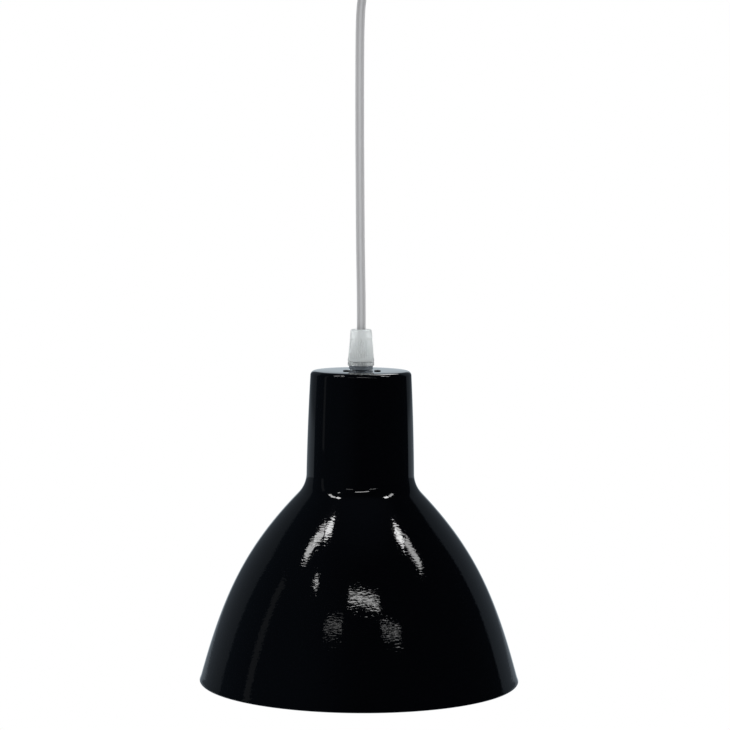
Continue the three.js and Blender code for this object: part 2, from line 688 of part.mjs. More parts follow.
function bulbCap() {
  const rows = threadRows(BULB_CAP_TOP - 0.6).reverse();
  const skirt = CAP_THREAD_RADIUS + 0.3;
  return addThread(
    turned([
      [0, BULB_CAP_TOP - 1],
      [BULB_CAP_BORE, BULB_CAP_TOP - 1],
      [BULB_CAP_BORE, BULB_CAP_BOTTOM],
      [skirt, BULB_CAP_BOTTOM],
      [skirt, rows[0] - 0.5],
      ...rows.map((height) => [CAP_THREAD_RADIUS, height]),
      [CAP_THREAD_RADIUS - 0.9, BULB_CAP_TOP],
      [0, BULB_CAP_TOP],
    ], THREAD_SIDES),
    CAP_THREAD_RADIUS,
  );
}

// A round bulb on a tapering neck, open where it meets the cap
function bulbGlass() {
  const centre = BULB_BOTTOM + BULB_RADIUS;
  const [ballPull, capPull] = BULB_NECK_PULL;
  const ball = (inset, from, to) => {
    const radius = BULB_RADIUS - inset;
    return sampled(new THREE.EllipseCurve(0, centre, radius, radius, from, to, to < from), 8);
  };
  const neck = (inset) => {
    const along = new THREE.Vector2(Math.cos(BULB_JOIN), Math.sin(BULB_JOIN));
    const joint = new THREE.Vector2(0, centre).addScaledVector(along, BULB_RADIUS - inset);
    return new THREE.CubicBezierCurve(
      joint,
      joint.clone().add(new THREE.Vector2(-along.y, along.x).multiplyScalar(ballPull)),
      new THREE.Vector2(BULB_NECK_RADIUS - inset, BULB_NECK_TOP - capPull),
      new THREE.Vector2(BULB_NECK_RADIUS - inset, BULB_NECK_TOP),
    );
  };
  return turned([
    ...ball(0, -Math.PI / 2, BULB_JOIN),
    ...sampled(neck(0), 5).slice(1),
    ...sampled(neck(BULB_WALL), 5).reverse(),
    ...ball(BULB_WALL, BULB_JOIN, -Math.PI / 2).slice(1),
  ]);
}

// Assembly

function ceilingRose() {
  const group = new THREE.Group();
  group.add(piece("mounting_bracket", mountingBracket(), "zincSteel"));
  group.add(piece("canopy", canopy(), "glossBlack"));
  for (const [side, turn] of [["left", -Math.PI / 2], ["right", Math.PI / 2]]) {
    const screw = piece(`canopy_screw_${side}`, sideScrew(), "nickel");
    screw.rotation.y = turn;
    screw.position.set(SIDE_SCREW_TIP * Math.sign(turn), 0, SIDE_SCREW_HEIGHT);
    group.add(screw);
  }
  group.add(piece("terminal_block", terminalBlock(), "whitePlastic"));
  terminalScrewPlaces().forEach((place, i) => {
    group.add(piece(`terminal_screw_${i + 1}`, terminalScrew(place), "zincSteel"));
  });
  for (const [wire, x, colour] of [
    ["live", -POLE_OFFSET, "brownWire"], ["neutral", POLE_OFFSET, "blueWire"],
  ]) {
    group.add(piece(`terminal_insert_${wire}`, terminalInsert(x), "brass"));
    group.add(piece(`canopy_lead_${wire}`, canopyLead(x), colour));
  }
  return group;
}

// A grip, its nut and the piece of cord that it holds, in the frame of the face that it sits on
function cordGrip(owner, tailTop, nutBottom) {
  const group = new THREE.Group();
  group.add(piece(`${owner}_grip_base`, gripBase(), "clearPlastic"));
  group.add(piece(`${owner}_grip_collet`, gripCollet(), "clearPlastic"));
  group.add(piece(`${owner}_grip_cap`, gripCap(), "clearPlastic"));
  group.add(piece(`${owner}_grip_nut`, lockNut(nutBottom), "zincSteel"));
  group.add(piece(`${owner}_cord_tail`, cordTail(tailTop), "clearCord"));
  return group;
}

function lampholder() {
  const group = new THREE.Group();
  group.add(piece("lock_washer", lockWasher(), "zincSteel"));
  group.add(piece("lampholder_cap", lampholderCap(), "whitePlastic"));
  group.add(piece("lampholder_body", lampholderBody(), "whitePlastic"));
  group.add(piece("lampholder_insert", lampholderInsert(), "ceramic"));
  group.add(piece("lampholder_shell", lampholderShell(), "nickel"));
  group.add(piece("centre_contact", centreContact(), "brass"));
  for (const [wire, x, colour] of [
    ["live", -HOLDER_TERMINAL_OFFSET, "brownWire"], ["neutral", HOLDER_TERMINAL_OFFSET, "blueWire"],
  ]) {
    group.add(piece(`holder_terminal_${wire}`, holderTerminal(x), "brass"));
    group.add(piece(`holder_lead_${wire}`, holderLead(x), colour));
  }
  return group;
}

function bulb() {
  const group = new THREE.Group();
  group.add(piece("bulb_contact", bulbContact(), "nickel"));
  group.add(piece("bulb_insulator", bulbInsulator(), "blackGlass"));
  group.add(piece("bulb_cap", bulbCap(), "nickel"));
  group.add(piece("bulb_glass", bulbGlass(), "opalGlass"));
  return group;
}

const canopyGrip = cordGrip("canopy", UPPER_TAIL_TOP, -SHEET - GAP - NUT_HEIGHT);
canopyGrip.position.z = CANOPY_SEAT;
canopyGrip.rotation.x = Math.PI;

const hanging = new THREE.Group();
hanging.position.z = SHADE_TOP;
hanging.add(piece("shade", shade(), "glossBlack"));
hanging.add(cordGrip("shade", LOWER_TAIL_TOP, -SHEET - 2 * GAP - WASHER_THICKNESS - NUT_HEIGHT));
hanging.add(lampholder());
hanging.add(bulb());

const pendantLight = new THREE.Group();
pendantLight.add(ceilingRose());
pendantLight.add(canopyGrip);
pendantLight.add(piece("cord", hangingCord(), "clearCord"));
pendantLight.add(hanging);

export default pendantLight;
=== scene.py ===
import json
import math

import bmesh
import bpy
from mathutils import Matrix, Vector


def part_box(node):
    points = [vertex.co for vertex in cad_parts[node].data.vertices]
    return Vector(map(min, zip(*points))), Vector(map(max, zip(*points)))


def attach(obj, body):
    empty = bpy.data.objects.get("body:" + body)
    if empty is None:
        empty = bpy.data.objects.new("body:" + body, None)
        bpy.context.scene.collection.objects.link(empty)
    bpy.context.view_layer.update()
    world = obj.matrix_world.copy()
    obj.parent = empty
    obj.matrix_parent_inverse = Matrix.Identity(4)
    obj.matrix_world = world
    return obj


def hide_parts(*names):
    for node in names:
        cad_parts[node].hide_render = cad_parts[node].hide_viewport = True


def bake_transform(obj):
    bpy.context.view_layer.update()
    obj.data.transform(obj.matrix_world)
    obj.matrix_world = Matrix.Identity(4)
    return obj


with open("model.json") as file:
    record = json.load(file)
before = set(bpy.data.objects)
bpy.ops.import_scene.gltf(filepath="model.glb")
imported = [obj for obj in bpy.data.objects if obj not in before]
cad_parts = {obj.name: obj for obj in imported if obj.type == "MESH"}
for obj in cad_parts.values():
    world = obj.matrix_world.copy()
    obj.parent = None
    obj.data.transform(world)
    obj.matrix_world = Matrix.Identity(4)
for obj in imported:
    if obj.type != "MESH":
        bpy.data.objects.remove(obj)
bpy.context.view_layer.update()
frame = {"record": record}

MM = 0.001
BODIES = frame["record"]["behaviour"]["bodies"]
BODY_OF = {node: body for body, nodes in BODIES.items() for node in nodes}
SLOT_OF = {row["node"]: row["material_slot"] for row in frame["record"]["subparts"]}


def low(node):
    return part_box(node)[0] / MM


def high(node):
    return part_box(node)[1] / MM


VENT_LIP = 0.6  # height of the pressed lip round each vent, above the shade's flat top

# Heights and radii read from the frame
SHADE_TOP = high("shade").z - VENT_LIP
RIM_RADIUS = high("shade").x
SHADE_HEIGHT = SHADE_TOP - low("shade").z
CANOPY_RADIUS = high("canopy").x
CANOPY_SEAT = low("canopy").z
CANOPY_RIM = high("canopy").z
GAP = -CANOPY_RIM
EDGE = 0.3  # the usual rounding of a small part's edge

# Shade
SHEET = 0.8
NECK_TOP_RADIUS = 31.55
NECK_BOTTOM_RADIUS = 33.65
NECK_HEIGHT = 64.6
NECK_BULGE = 0.5
TOP_EDGE_RADIUS = 2.9
TOP_EDGE_DEPTH = 3.3
TOP_SLOPE = math.radians(5)  # the flat top falls away by this much before its rounded edge
SHOULDER_RADIUS = 18
SHOULDER_TURN = math.radians(43.8)
RIM_LEAN = math.radians(14.9)
BELL_PULL = 50
RIM_PULL = 52.7
RIM_BEAD = 1.1
VENT_OFFSET = 13
VENT_ANGLES = [math.radians(226), math.radians(322)]
VENT_RADIUS = 1.3
VENT_LIP_RADIUS = 2

# Cord grip, heights above the face it sits on
STEM_RADIUS = 4.85
STEM_LENGTH = 15
STEM_PITCH = 1
STEM_THREAD = 0.5  # depth of its thread
STEM_BORE = 3.4
STEM_HOLE = 5.2
NUT_RADIUS = 8.1
NUT_HEIGHT = 3.5
WASHER_THICKNESS = 1
WASHER_RADIUS = 8.2
WASHER_TOOTH = 0.9
FOOT_RADIUS = 7.4
RING_BOTTOM = 2.8
RING_TOP = 5
RING_RADIUS = 8.2
RING_NOTCH = 0.6
RING_LUGS = 18
SPIGOT_RADIUS = 5.6
SPIGOT_TOP = 12
CAP_BOTTOM = 5.3
FLANGE_HEIGHT = 1.8
CAP_CONE_RADIUS = 7.95
CAP_TIP_RADIUS = 6.6
CAP_EDGE = 1.2
CAP_RIBS = 36
RIB_DEPTH = 0.35
RIB_TOP = 19.6
CAP_SEAM = [(0.15, 0), (0.4, 0.12), (0.75, 0.02)]  # a groove: heights above the ribs, depths
GRIP_HEIGHT = 25.4
CAVITY_RADIUS = SPIGOT_RADIUS + 0.6
CAVITY_SHOULDER = 13.5
CAVITY_TOP = 22.5
CAP_BORE = 3.15
MOUTH_RADIUS = 4.3
MOUTH_DEPTH = 1.6
COLLET_BOTTOM = SPIGOT_TOP + 0.4
COLLET_TOP = 19.4
COLLET_BORE = 3.05
COLLET_RADIUS = 5.5
COLLET_TIP_RADIUS = 3.75
COLLET_FOOT = 1.2
COLLET_SLIT = 0.8
TAIL_TOP = GRIP_HEIGHT - 0.6  # where the clamped cord inside each grip starts

# Flat twin cord, and its route from the upper grip's mouth to the lower grip's, as (x, z)
CORD_WIDTH = 5.4
CORD_THICKNESS = 2.8
CORD_WAIST = 2.3
CORD_TUCK = 1.2  # how far the cord's ends reach into the grips
ACROSS = "across"  # the cord's mesh attributes: -1 at its left edge and 1 at its right,
STRAIGHT = "straight"  # and each vertex's place when the cord hangs straight
CORD_ROUTE = [
    (0, -52.2), (-0.1, -55.5), (-0.8, -61), (-1.45, -68), (-1.8, -77), (-1.9, -88), (-1.92, -100),
    (-1.88, -112), (-1.8, -126), (-1.7, -140), (-1.55, -154), (-1.38, -168), (-1.2, -182),
    (-1.03, -196), (-0.83, -210), (-0.55, -224), (-0.25, -238), (-0.02, -252), (0.05, -264.1),
]
CORD_END = 1.5  # how far a clamped cord's sheath goes past its grip's stem
LEAD_RADIUS = 0.9
LEAD_OFFSET = 1.35
WIRES = {"live": -1, "neutral": 1}  # each wire's side of the middle

# Ceiling rose
CANOPY_CORNER = 6
BRACKET_WIDTH = 18
BRACKET_SHEET = 1.6
BRACKET_BEND = 3
SLOT_OFFSET = 25
SLOT_LENGTH = 12
SLOT_WIDTH = 5
SIDE_SCREW_HEIGHT = -10
SIDE_SCREW_HOLE = 2.2
SIDE_SCREW_RADIUS = 1.75
SIDE_SCREW_TIP = 39  # its distance from the axis
SIDE_SCREW_PITCH = 0.6
SIDE_SCREW_THREAD = 0.28
SIDE_SCREW_HEAD = 3.6
SIDE_SCREW_HEAD_HEIGHT = 2.2
SIDE_SCREW_CROSS = 4.4
POLE_OFFSET = 5.5
POLE_HOLE = 2.7
INSERT_RADIUS = 2.4
INSERT_BORE = 1.4
INSERT_LENGTH = 12
TERMINAL_SCREW_RADIUS = 1.3
TERMINAL_SCREW_OFFSET = 3.6
TERMINAL_SCREW_PITCH = 0.5
TERMINAL_SCREW_THREAD = 0.16
COLLAR_RADIUS = 2.6

# Lampholder and bulb, depths below the shade's flat top
HOLDER_COLLAR_TOP = -7
HOLDER_COLLAR_BOTTOM = -15
HOLDER_COLLAR_RADIUS = 7.4
HOLDER_RADIUS = 19
HOLDER_WALL = 1.6
HOLDER_DOME_BOTTOM = -26
HOLDER_SKIRT_BOTTOM = -34
HOLDER_BOTTOM = -58
HOLDER_BORE = 15
FLUTES = 40
FLUTE_DEPTH = 0.35
POST_OFFSET = 8
POST_RADIUS = 2.3
POST_HEIGHT = 4.6
TONGUE_SHEET = 0.5
TONGUE_DROP = 1.7  # how far the tongue reaches down towards the bulb
TONGUE_WIDTH = 5
INSERT_TOP = -27
INSERT_BOTTOM = -34
THREAD_PITCH = 3.629
THREAD_HEIGHT = 0.47
THREAD_TURNS = 5
SHELL_THREAD_RADIUS = 13
CAP_THREAD_RADIUS = 12.6
SHELL_TOP = -36
SHELL_RADIUS = 14.4
BULB_CAP_TOP = -41.3
BULB_CAP_BOTTOM = -62
BULB_CAP_BORE = 11.4
BULB_RADIUS = 30
BULB_BOTTOM = -143
BULB_WALL = 1
BULB_NECK_RADIUS = 13.4
BULB_NECK_TOP = -62.4
BULB_JOIN = 38  # degrees above the ball's middle where the neck starts
BULB_PULL = 12
CONTACT_RADIUS = 4.4

# Sides of round pieces
FINE = 192
ROUND = 96
LARGE = 64
MEDIUM = 48
SMALL = 32
SHARP_ANGLE = math.radians(32)


def add_object(name, data):
    made = bpy.data.objects.new(name, data)
    bpy.context.scene.collection.objects.link(made)
    return made


# --- Camera ---

CAMERA_LENS = 127.06
CAMERA_PLACE = Vector((0.0025, -1.6, -0.164))
CAMERA_AIM = Vector((0.0025, 0, -0.2869))
CAMERA_ROLL = math.radians(0.37)


def make_camera():
    data = bpy.data.cameras.new("camera")
    data.lens = CAMERA_LENS
    camera = add_object("camera", data)
    turn = (CAMERA_AIM - CAMERA_PLACE).to_track_quat("-Z", "Y").to_matrix().to_4x4()
    camera.matrix_world = Matrix.Translation(CAMERA_PLACE) @ turn @ Matrix.Rotation(CAMERA_ROLL, 4, "Z")
    bpy.context.scene.camera = camera


# --- Outlines ---


def arc(x, y, size, start, end, steps):
    """Points of a circular arc, from one angle to another in degrees."""
    turns = [math.radians(start + (end - start) * i / steps) for i in range(steps + 1)]
    return [(x + size * math.cos(t), y + size * math.sin(t)) for t in turns]


def bezier(points, steps):
    """Points of a Bezier curve of any degree."""
    def at(t):
        level = [Vector(point) for point in points]
        while len(level) > 1:
            level = [a.lerp(b, t) for a, b in zip(level, level[1:])]
        return tuple(level[0])
    return [at(i / steps) for i in range(steps + 1)]


def moved_in(outline, distance):
    """An outline moved to its left by a distance, square to itself."""
    moved = []
    for i, point in enumerate(outline):
        before = Vector(outline[max(i - 1, 0)])
        after = Vector(outline[min(i + 1, len(outline) - 1)])
        along = (after - before).normalized()
        moved.append((point[0] - distance * along.y, point[1] + distance * along.x))
    return moved


def smooth_route(points, step):
    """A Catmull-Rom curve through points, with places about a step apart."""
    ends = [points[0] * 2 - points[1]] + points + [points[-1] * 2 - points[-2]]
    route = []
    for a, b, c, d in zip(ends, ends[1:], ends[2:], ends[3:]):
        count = max(1, round((c - b).length / step))
        for i in range(count):
            t = i / count
            route.append(0.5 * (2 * b + (c - a) * t + (2 * a - 5 * b + 4 * c - d) * t ** 2
                                + (3 * b - a - 3 * c + d) * t ** 3))
    return route + [points[-1]]


# --- Meshes ---
# A shape is (vertices, faces), in millimetres.


def lathe(outline, sides=ROUND, change=None):
    """An outline of (radius, height) points turned about Z. It closes on itself unless it starts on the
    axis. change(angle, radius, height) gives the radius at one place."""
    vertices, rings = [], []
    for radius, height in outline:
        if radius < 1e-6:
            rings.append([len(vertices)] * sides)
            vertices.append(Vector((0, 0, height)))
            continue
        rings.append(list(range(len(vertices), len(vertices) + sides)))
        for i in range(sides):
            angle = 2 * math.pi * i / sides
            r = change(angle, radius, height) if change else radius
            vertices.append(Vector((r * math.cos(angle), r * math.sin(angle), height)))
    pairs = list(zip(rings, rings[1:]))
    if outline[0][0] > 1e-6:
        pairs.append((rings[-1], rings[0]))
    faces = []
    for a, b in pairs:
        for i in range(sides):
            j = (i + 1) % sides
            corners = [a[i], a[j], b[j], b[i]]
            faces.append([c for k, c in enumerate(corners) if c not in corners[:k]])
    return vertices, faces


def sweep(section, route, side=None):
    """A closed section of (across, deep) points carried along a route of places, ends capped. The
    section's across direction stays near side, or turns as little as it can."""
    vertices, count = [], len(section)
    across = side or (route[1] - route[0]).orthogonal()
    for i, place in enumerate(route):
        along = (route[min(i + 1, len(route) - 1)] - route[max(i - 1, 0)]).normalized()
        across = ((side or across) - along * along.dot(side or across)).normalized()
        deep = along.cross(across)
        vertices += [place + across * u + deep * v for u, v in section]
    faces = [list(range(count))[::-1], list(range(len(vertices) - count, len(vertices)))]
    for i in range(len(route) - 1):
        for k in range(count):
            n = (k + 1) % count
            faces.append([i * count + k, i * count + n, (i + 1) * count + n, (i + 1) * count + k])
    return vertices, faces


def prism(outline, bottom, top):
    """A closed outline in the XY plane, given a height."""
    count = len(outline)
    vertices = [Vector((x, y, z)) for z in (bottom, top) for x, y in outline]
    sides = [[k, (k + 1) % count, (k + 1) % count + count, k + count] for k in range(count)]
    return vertices, sides + [list(range(count))[::-1], list(range(count, 2 * count))]


def rod(radius, bottom, top, x=0, y=0, sides=SMALL):
    return moved(prism(arc(0, 0, radius, 0, 360 - 360 / sides, sides - 1), bottom, top), x=x, y=y)


def block(x, y, z, centre=(0, 0, 0)):
    half = [(-x / 2, -y / 2), (x / 2, -y / 2), (x / 2, y / 2), (-x / 2, y / 2)]
    return moved(prism(half, -z / 2, z / 2), *centre)


def moved(shape, x=0, y=0, z=0, turn=None):
    """A shape turned by a matrix, then moved."""
    vertices, faces = shape
    matrix = Matrix.Translation((x, y, z)) @ (turn or Matrix.Identity(4))
    return [matrix @ v for v in vertices], faces


def turn(degrees, axis):
    return Matrix.Rotation(math.radians(degrees), 4, axis)


def mesh_of(name, shape):
    vertices, faces = shape
    mesh = bpy.data.meshes.new(name)
    mesh.from_pydata([v * MM for v in vertices], [], faces)
    work = bmesh.new()
    work.from_mesh(mesh)
    bmesh.ops.recalc_face_normals(work, faces=work.faces)
    work.to_mesh(mesh)
    work.free()
    return mesh


def apply_modifiers(target):
    graph = bpy.context.evaluated_depsgraph_get()
    mesh = bpy.data.meshes.new_from_object(target.evaluated_get(graph))
    target.modifiers.clear()
    target.data = mesh


def combine(target, shapes, operation="DIFFERENCE"):
    """Cuts shapes from a target, or joins them to it."""
    for i, shape in enumerate(shapes):
        other = add_object(f"tool_{i}", mesh_of(f"tool_{i}", shape))
        modifier = target.modifiers.new("combine", "BOOLEAN")
        modifier.operation = operation
        modifier.solver = "EXACT"
        modifier.object = other
        apply_modifiers(target)
        bpy.data.objects.remove(other)


def soften(target, width):
    """Rounds a target's sharp edges."""
    bevel = target.modifiers.new("bevel", "BEVEL")
    bevel.width = width * MM
    bevel.segments = 2
    bevel.limit_method = "ANGLE"
    bevel.angle_limit = math.radians(30)
    bevel.harden_normals = False
    apply_modifiers(target)


def shade_smooth(target):
    """Smooth faces, with the edges that turn by more than SHARP_ANGLE kept sharp."""
    work = bmesh.new()
    work.from_mesh(target.data)
    bmesh.ops.dissolve_degenerate(work, dist=1e-7, edges=work.edges)
    for face in work.faces:
        face.smooth = True
    for edge in work.edges:
        edge.smooth = len(edge.link_faces) == 2 and edge.calc_face_angle(0) < SHARP_ANGLE
    work.to_mesh(target.data)
    work.free()


def show(node, shape, cuts=(), joins=(), bevel=0, place=None):
    """A finer piece for one CAD node: it replaces the node, rides on its body and takes its finish."""
    piece = add_object(f"{node}_fine", mesh_of(f"{node}_fine", shape))
    if joins:
        combine(piece, joins, "UNION")
    if cuts:
        combine(piece, cuts)
    if bevel:
        soften(piece, bevel)
    if place:
        piece.data.transform(Matrix.Translation(place.translation * MM) @ place.to_3x3().to_4x4())
    shade_smooth(piece)
    piece.data.materials.clear()
    piece.data.materials.append(material_of(SLOT_OF[node]))
    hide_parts(node)
    if node != "cord":  # the cord is left unattached to any body
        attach(piece, BODY_OF[node])
    return piece


# --- Finishes ---


class Finish:
    """A Principled material whose noise follows the piece, in millimetres."""

    def __init__(self, name, color, roughness, **sockets):
        self.material = bpy.data.materials.new(name)
        self.material.use_nodes = True
        self.tree = self.material.node_tree
        self.shader = self.tree.nodes["Principled BSDF"]
        self.shader.inputs["Base Color"].default_value = (*color, 1)
        self.shader.inputs["Roughness"].default_value = roughness
        for socket, value in sockets.items():
            self.shader.inputs[socket.replace("_", " ")].default_value = value
        self.height = None

    def node(self, kind, **settings):
        made = self.tree.nodes.new(kind)
        for key, value in settings.items():
            setattr(made, key, value)
        return made

    def link(self, start, end):
        self.tree.links.new(start, end)

    def noise(self, grain, detail=3, stretch=(1, 1, 1), places=None):
        """Noise whose grain is about so many millimetres, stretched along the axes."""
        places = places or self.node("ShaderNodeTexCoord").outputs["Object"]
        mapping = self.node("ShaderNodeMapping")
        mapping.inputs["Scale"].default_value = [1 / (MM * grain * s) for s in stretch]
        texture = self.node("ShaderNodeTexNoise")
        texture.inputs["Scale"].default_value = 1
        texture.inputs["Detail"].default_value = detail
        self.link(places, mapping.inputs["Vector"])
        self.link(mapping.outputs["Vector"], texture.inputs["Vector"])
        return texture.outputs["Fac"]

    def spread(self, value, low_value, high_value, start=0.3, end=0.7):
        """A value between start and end spread over another range."""
        spread = self.node("ShaderNodeMapRange")
        numbers = {"From Min": start, "From Max": end, "To Min": low_value, "To Max": high_value}
        for name, number in numbers.items():
            spread.inputs[name].default_value = number
        self.link(value, spread.inputs["Value"])
        return spread.outputs["Result"]

    def roughness(self, value, low_value, high_value):
        self.link(self.spread(value, low_value, high_value), self.shader.inputs["Roughness"])

    def color(self, value, first, second, start=0.3, end=0.7):
        mix = self.node("ShaderNodeMix", data_type="RGBA")
        mix.inputs[6].default_value = (*first, 1)
        mix.inputs[7].default_value = (*second, 1)
        self.link(self.spread(value, 0, 1, start, end), mix.inputs[0])
        self.link(mix.outputs[2], self.shader.inputs["Base Color"])

    def math(self, operation, *values):
        made = self.node("ShaderNodeMath", operation=operation)
        for value, socket in zip(values, made.inputs):
            if isinstance(value, bpy.types.NodeSocket):
                self.link(value, socket)
            else:
                socket.default_value = value
        return made.outputs[0]

    def height_between(self, start, end):
        """0 at one height and 1 at another, in millimetres, smooth between them."""
        places = self.node("ShaderNodeTexCoord")
        split = self.node("ShaderNodeSeparateXYZ")
        self.link(places.outputs["Object"], split.inputs["Vector"])
        result = self.spread(split.outputs["Z"], 0, 1, start * MM, end * MM)
        result.node.interpolation_type = "SMOOTHSTEP"
        return result

    def bump(self, value, depth, share=None):
        """Relief so many millimetres deep, on top of what is there, or a share of that depth."""
        bump = self.node("ShaderNodeBump")
        bump.inputs["Distance"].default_value = depth * MM
        if share:
            self.link(share, bump.inputs["Strength"])
        self.link(value, bump.inputs["Height"])
        if self.height:
            self.link(self.height, bump.inputs["Normal"])
        self.height = bump.outputs["Normal"]
        self.link(self.height, self.shader.inputs["Normal"])


def black_paint():
    """Gloss paint over spun metal, whose fine rings show through it below the shade's shoulder."""
    finish = Finish("gloss_black", (0.0004, 0.0004, 0.0007), 0.05, IOR=1.5)
    finish.roughness(finish.noise(9, 2), 0.03, 0.06)
    below_shoulder = finish.height_between(SHADE_TOP - 70, SHADE_TOP - 92)
    finish.bump(finish.noise(0.95, 1, (3, 3, 1)), 0.05, below_shoulder)
    finish.bump(finish.noise(3, 1, (1.5, 1.5, 1)), 0.01, below_shoulder)
    return finish


def white_paint():
    finish = Finish("white_inside", (0.86, 0.855, 0.84), 0.32)
    finish.roughness(finish.noise(12), 0.27, 0.38)
    finish.bump(finish.noise(1.1, 2), 0.006)
    return finish


def plated(name, color, roughness, grain=(1, 1, 1), depth=0.004):
    """Plated or bare metal with a cloudy sheen, a dull film and fine marks."""
    finish = Finish(name, color, roughness, Metallic=0.6)
    finish.color(finish.noise(6, 4), [c * 0.86 for c in color], color)
    finish.roughness(finish.noise(2.5, 4), roughness * 0.75, roughness * 1.35)
    finish.bump(finish.noise(0.35, 2, grain), depth)
    return finish


def clear_plastic(name, color, transmission, roughness):
    """Clear plastic, more or less milky, with a satin skin."""
    finish = Finish(name, color, roughness, IOR=1.49)
    finish.shader.inputs["Transmission Weight"].default_value = transmission
    finish.roughness(finish.noise(3, 2), roughness * 0.8, roughness * 1.2)
    finish.bump(finish.noise(0.5, 2), 0.008)
    return finish


def cord_sheath():
    """Clear grey plastic over two stranded conductors, which show as two darker stripes."""
    finish = Finish("cord_plastic", (0.47, 0.465, 0.47), 0.3, IOR=1.5)
    finish.shader.inputs["Transmission Weight"].default_value = 0.25
    across = finish.node("ShaderNodeAttribute", attribute_name=ACROSS).outputs["Fac"]
    straight = finish.node("ShaderNodeAttribute", attribute_name=STRAIGHT).outputs["Vector"]
    from_lobe = finish.math("ABSOLUTE", finish.math("SUBTRACT", finish.math("ABSOLUTE", across), 0.5))
    strands = finish.math("MULTIPLY", finish.noise(0.5, 2, (1, 1, 60), straight), 0.35)
    finish.color(finish.math("ADD", from_lobe, strands), (0.455, 0.45, 0.455), (0.62, 0.62, 0.63), 0.2, 0.6)
    finish.bump(finish.noise(0.4, 2, (1, 1, 12), straight), 0.01)
    return finish


def moulded(name, color, roughness, depth=0.01, grain=0.6):
    """Opaque moulded plastic."""
    finish = Finish(name, color, roughness, IOR=1.48)
    finish.color(finish.noise(8), [c * 0.95 for c in color], color)
    finish.roughness(finish.noise(4), roughness * 0.85, roughness * 1.15)
    finish.bump(finish.noise(grain, 3), depth)
    return finish


def ceramic():
    finish = Finish("steatite", (0.8, 0.77, 0.7), 0.55)
    finish.color(finish.noise(0.8, 4), (0.72, 0.68, 0.6), (0.83, 0.8, 0.73))
    finish.bump(finish.noise(0.5, 4), 0.03)
    return finish


def diffuser():
    """Opal plastic of the bulb."""
    finish = Finish("opal", (0.93, 0.925, 0.9), 0.22, IOR=1.5)
    finish.shader.inputs["Subsurface Weight"].default_value = 0.35
    finish.shader.inputs["Subsurface Radius"].default_value = (0.004, 0.004, 0.0035)
    finish.roughness(finish.noise(10), 0.18, 0.28)
    finish.bump(finish.noise(1.5, 2), 0.003)
    return finish


MAKERS = {
    "black_paint": black_paint,
    "zinc_steel": lambda: plated("zinc", (0.62, 0.63, 0.65), 0.34),
    "screw_plating": lambda: plated("nickel_screw", (0.7, 0.69, 0.67), 0.22),
    "brass": lambda: plated("brass", (0.72, 0.53, 0.22), 0.28),
    "cap_plating": lambda: plated("nickel_cap", (0.68, 0.67, 0.64), 0.26, (6, 6, 1)),
    "clear_plastic": lambda: clear_plastic("frosted_plastic", (0.97, 1.0, 1.0), 0.62, 0.38),
    # the grip's foot: clear plastic given a dark colour, painted shade under the overhanging ring
    "shaded_foot": lambda: clear_plastic("glassy_plastic_painted_shade", (0.3, 0.34, 0.38), 0.6, 0.2),
    "cord_sheath": cord_sheath,
    "holder_plastic": lambda: moulded("white_moulding", (0.82, 0.815, 0.79), 0.42),
    "block_plastic": lambda: moulded("block_moulding", (0.78, 0.78, 0.74), 0.5),
    "holder_ceramic": ceramic,
    "bulb_diffuser": diffuser,
    "bulb_insulator": lambda: moulded("black_glass", (0.012, 0.012, 0.016), 0.12, 0.004),
    "brown_wire": lambda: moulded("brown_pvc", (0.19, 0.075, 0.03), 0.38, 0.006, 0.3),
    "blue_wire": lambda: moulded("blue_pvc", (0.03, 0.13, 0.38), 0.38, 0.006, 0.3),
}
made_finishes = {}


def material_of(name):
    if name not in made_finishes:
        made_finishes[name] = MAKERS[name]().material
    return made_finishes[name]


# --- Cord ---


def cord_section():
    """Two round lobes with a shallow waist between them."""
    lobe = CORD_THICKNESS / 2
    centre = CORD_WIDTH / 2 - lobe
    right = arc(centre, 0, lobe, -90, 90, 20)
    left = arc(-centre, 0, lobe, 90, 270, 20)
    waist_top = [(0.45, CORD_WAIST / 2 + 0.06), (0, CORD_WAIST / 2), (-0.45, CORD_WAIST / 2 + 0.06)]
    waist_bottom = [(x, -y) for x, y in reversed(waist_top)]
    return right + waist_top + left + waist_bottom


def mark_across(piece, section, route):
    """Stores where each vertex of a swept piece lies across the cord and along it."""
    across = piece.data.attributes.new(ACROSS, "FLOAT", "POINT")
    straight = piece.data.attributes.new(STRAIGHT, "FLOAT_VECTOR", "POINT")
    for i in range(len(piece.data.vertices)):
        u, v = section[i % len(section)]
        across.data[i].value = 2 * u / CORD_WIDTH
        straight.data[i].vector = Vector((u, v, route[i // len(section)].z)) * MM


def make_cord():
    places = [Vector((x, 0, z)) for x, z in CORD_ROUTE]
    places[0].z += CORD_TUCK
    places[-1].z -= CORD_TUCK
    route = smooth_route(places, 1.5)
    section = cord_section()
    cord = show("cord", sweep(section, route, Vector((1, 0, 0))))
    mark_across(cord, section, route)
    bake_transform(cord)


# --- Shade ---


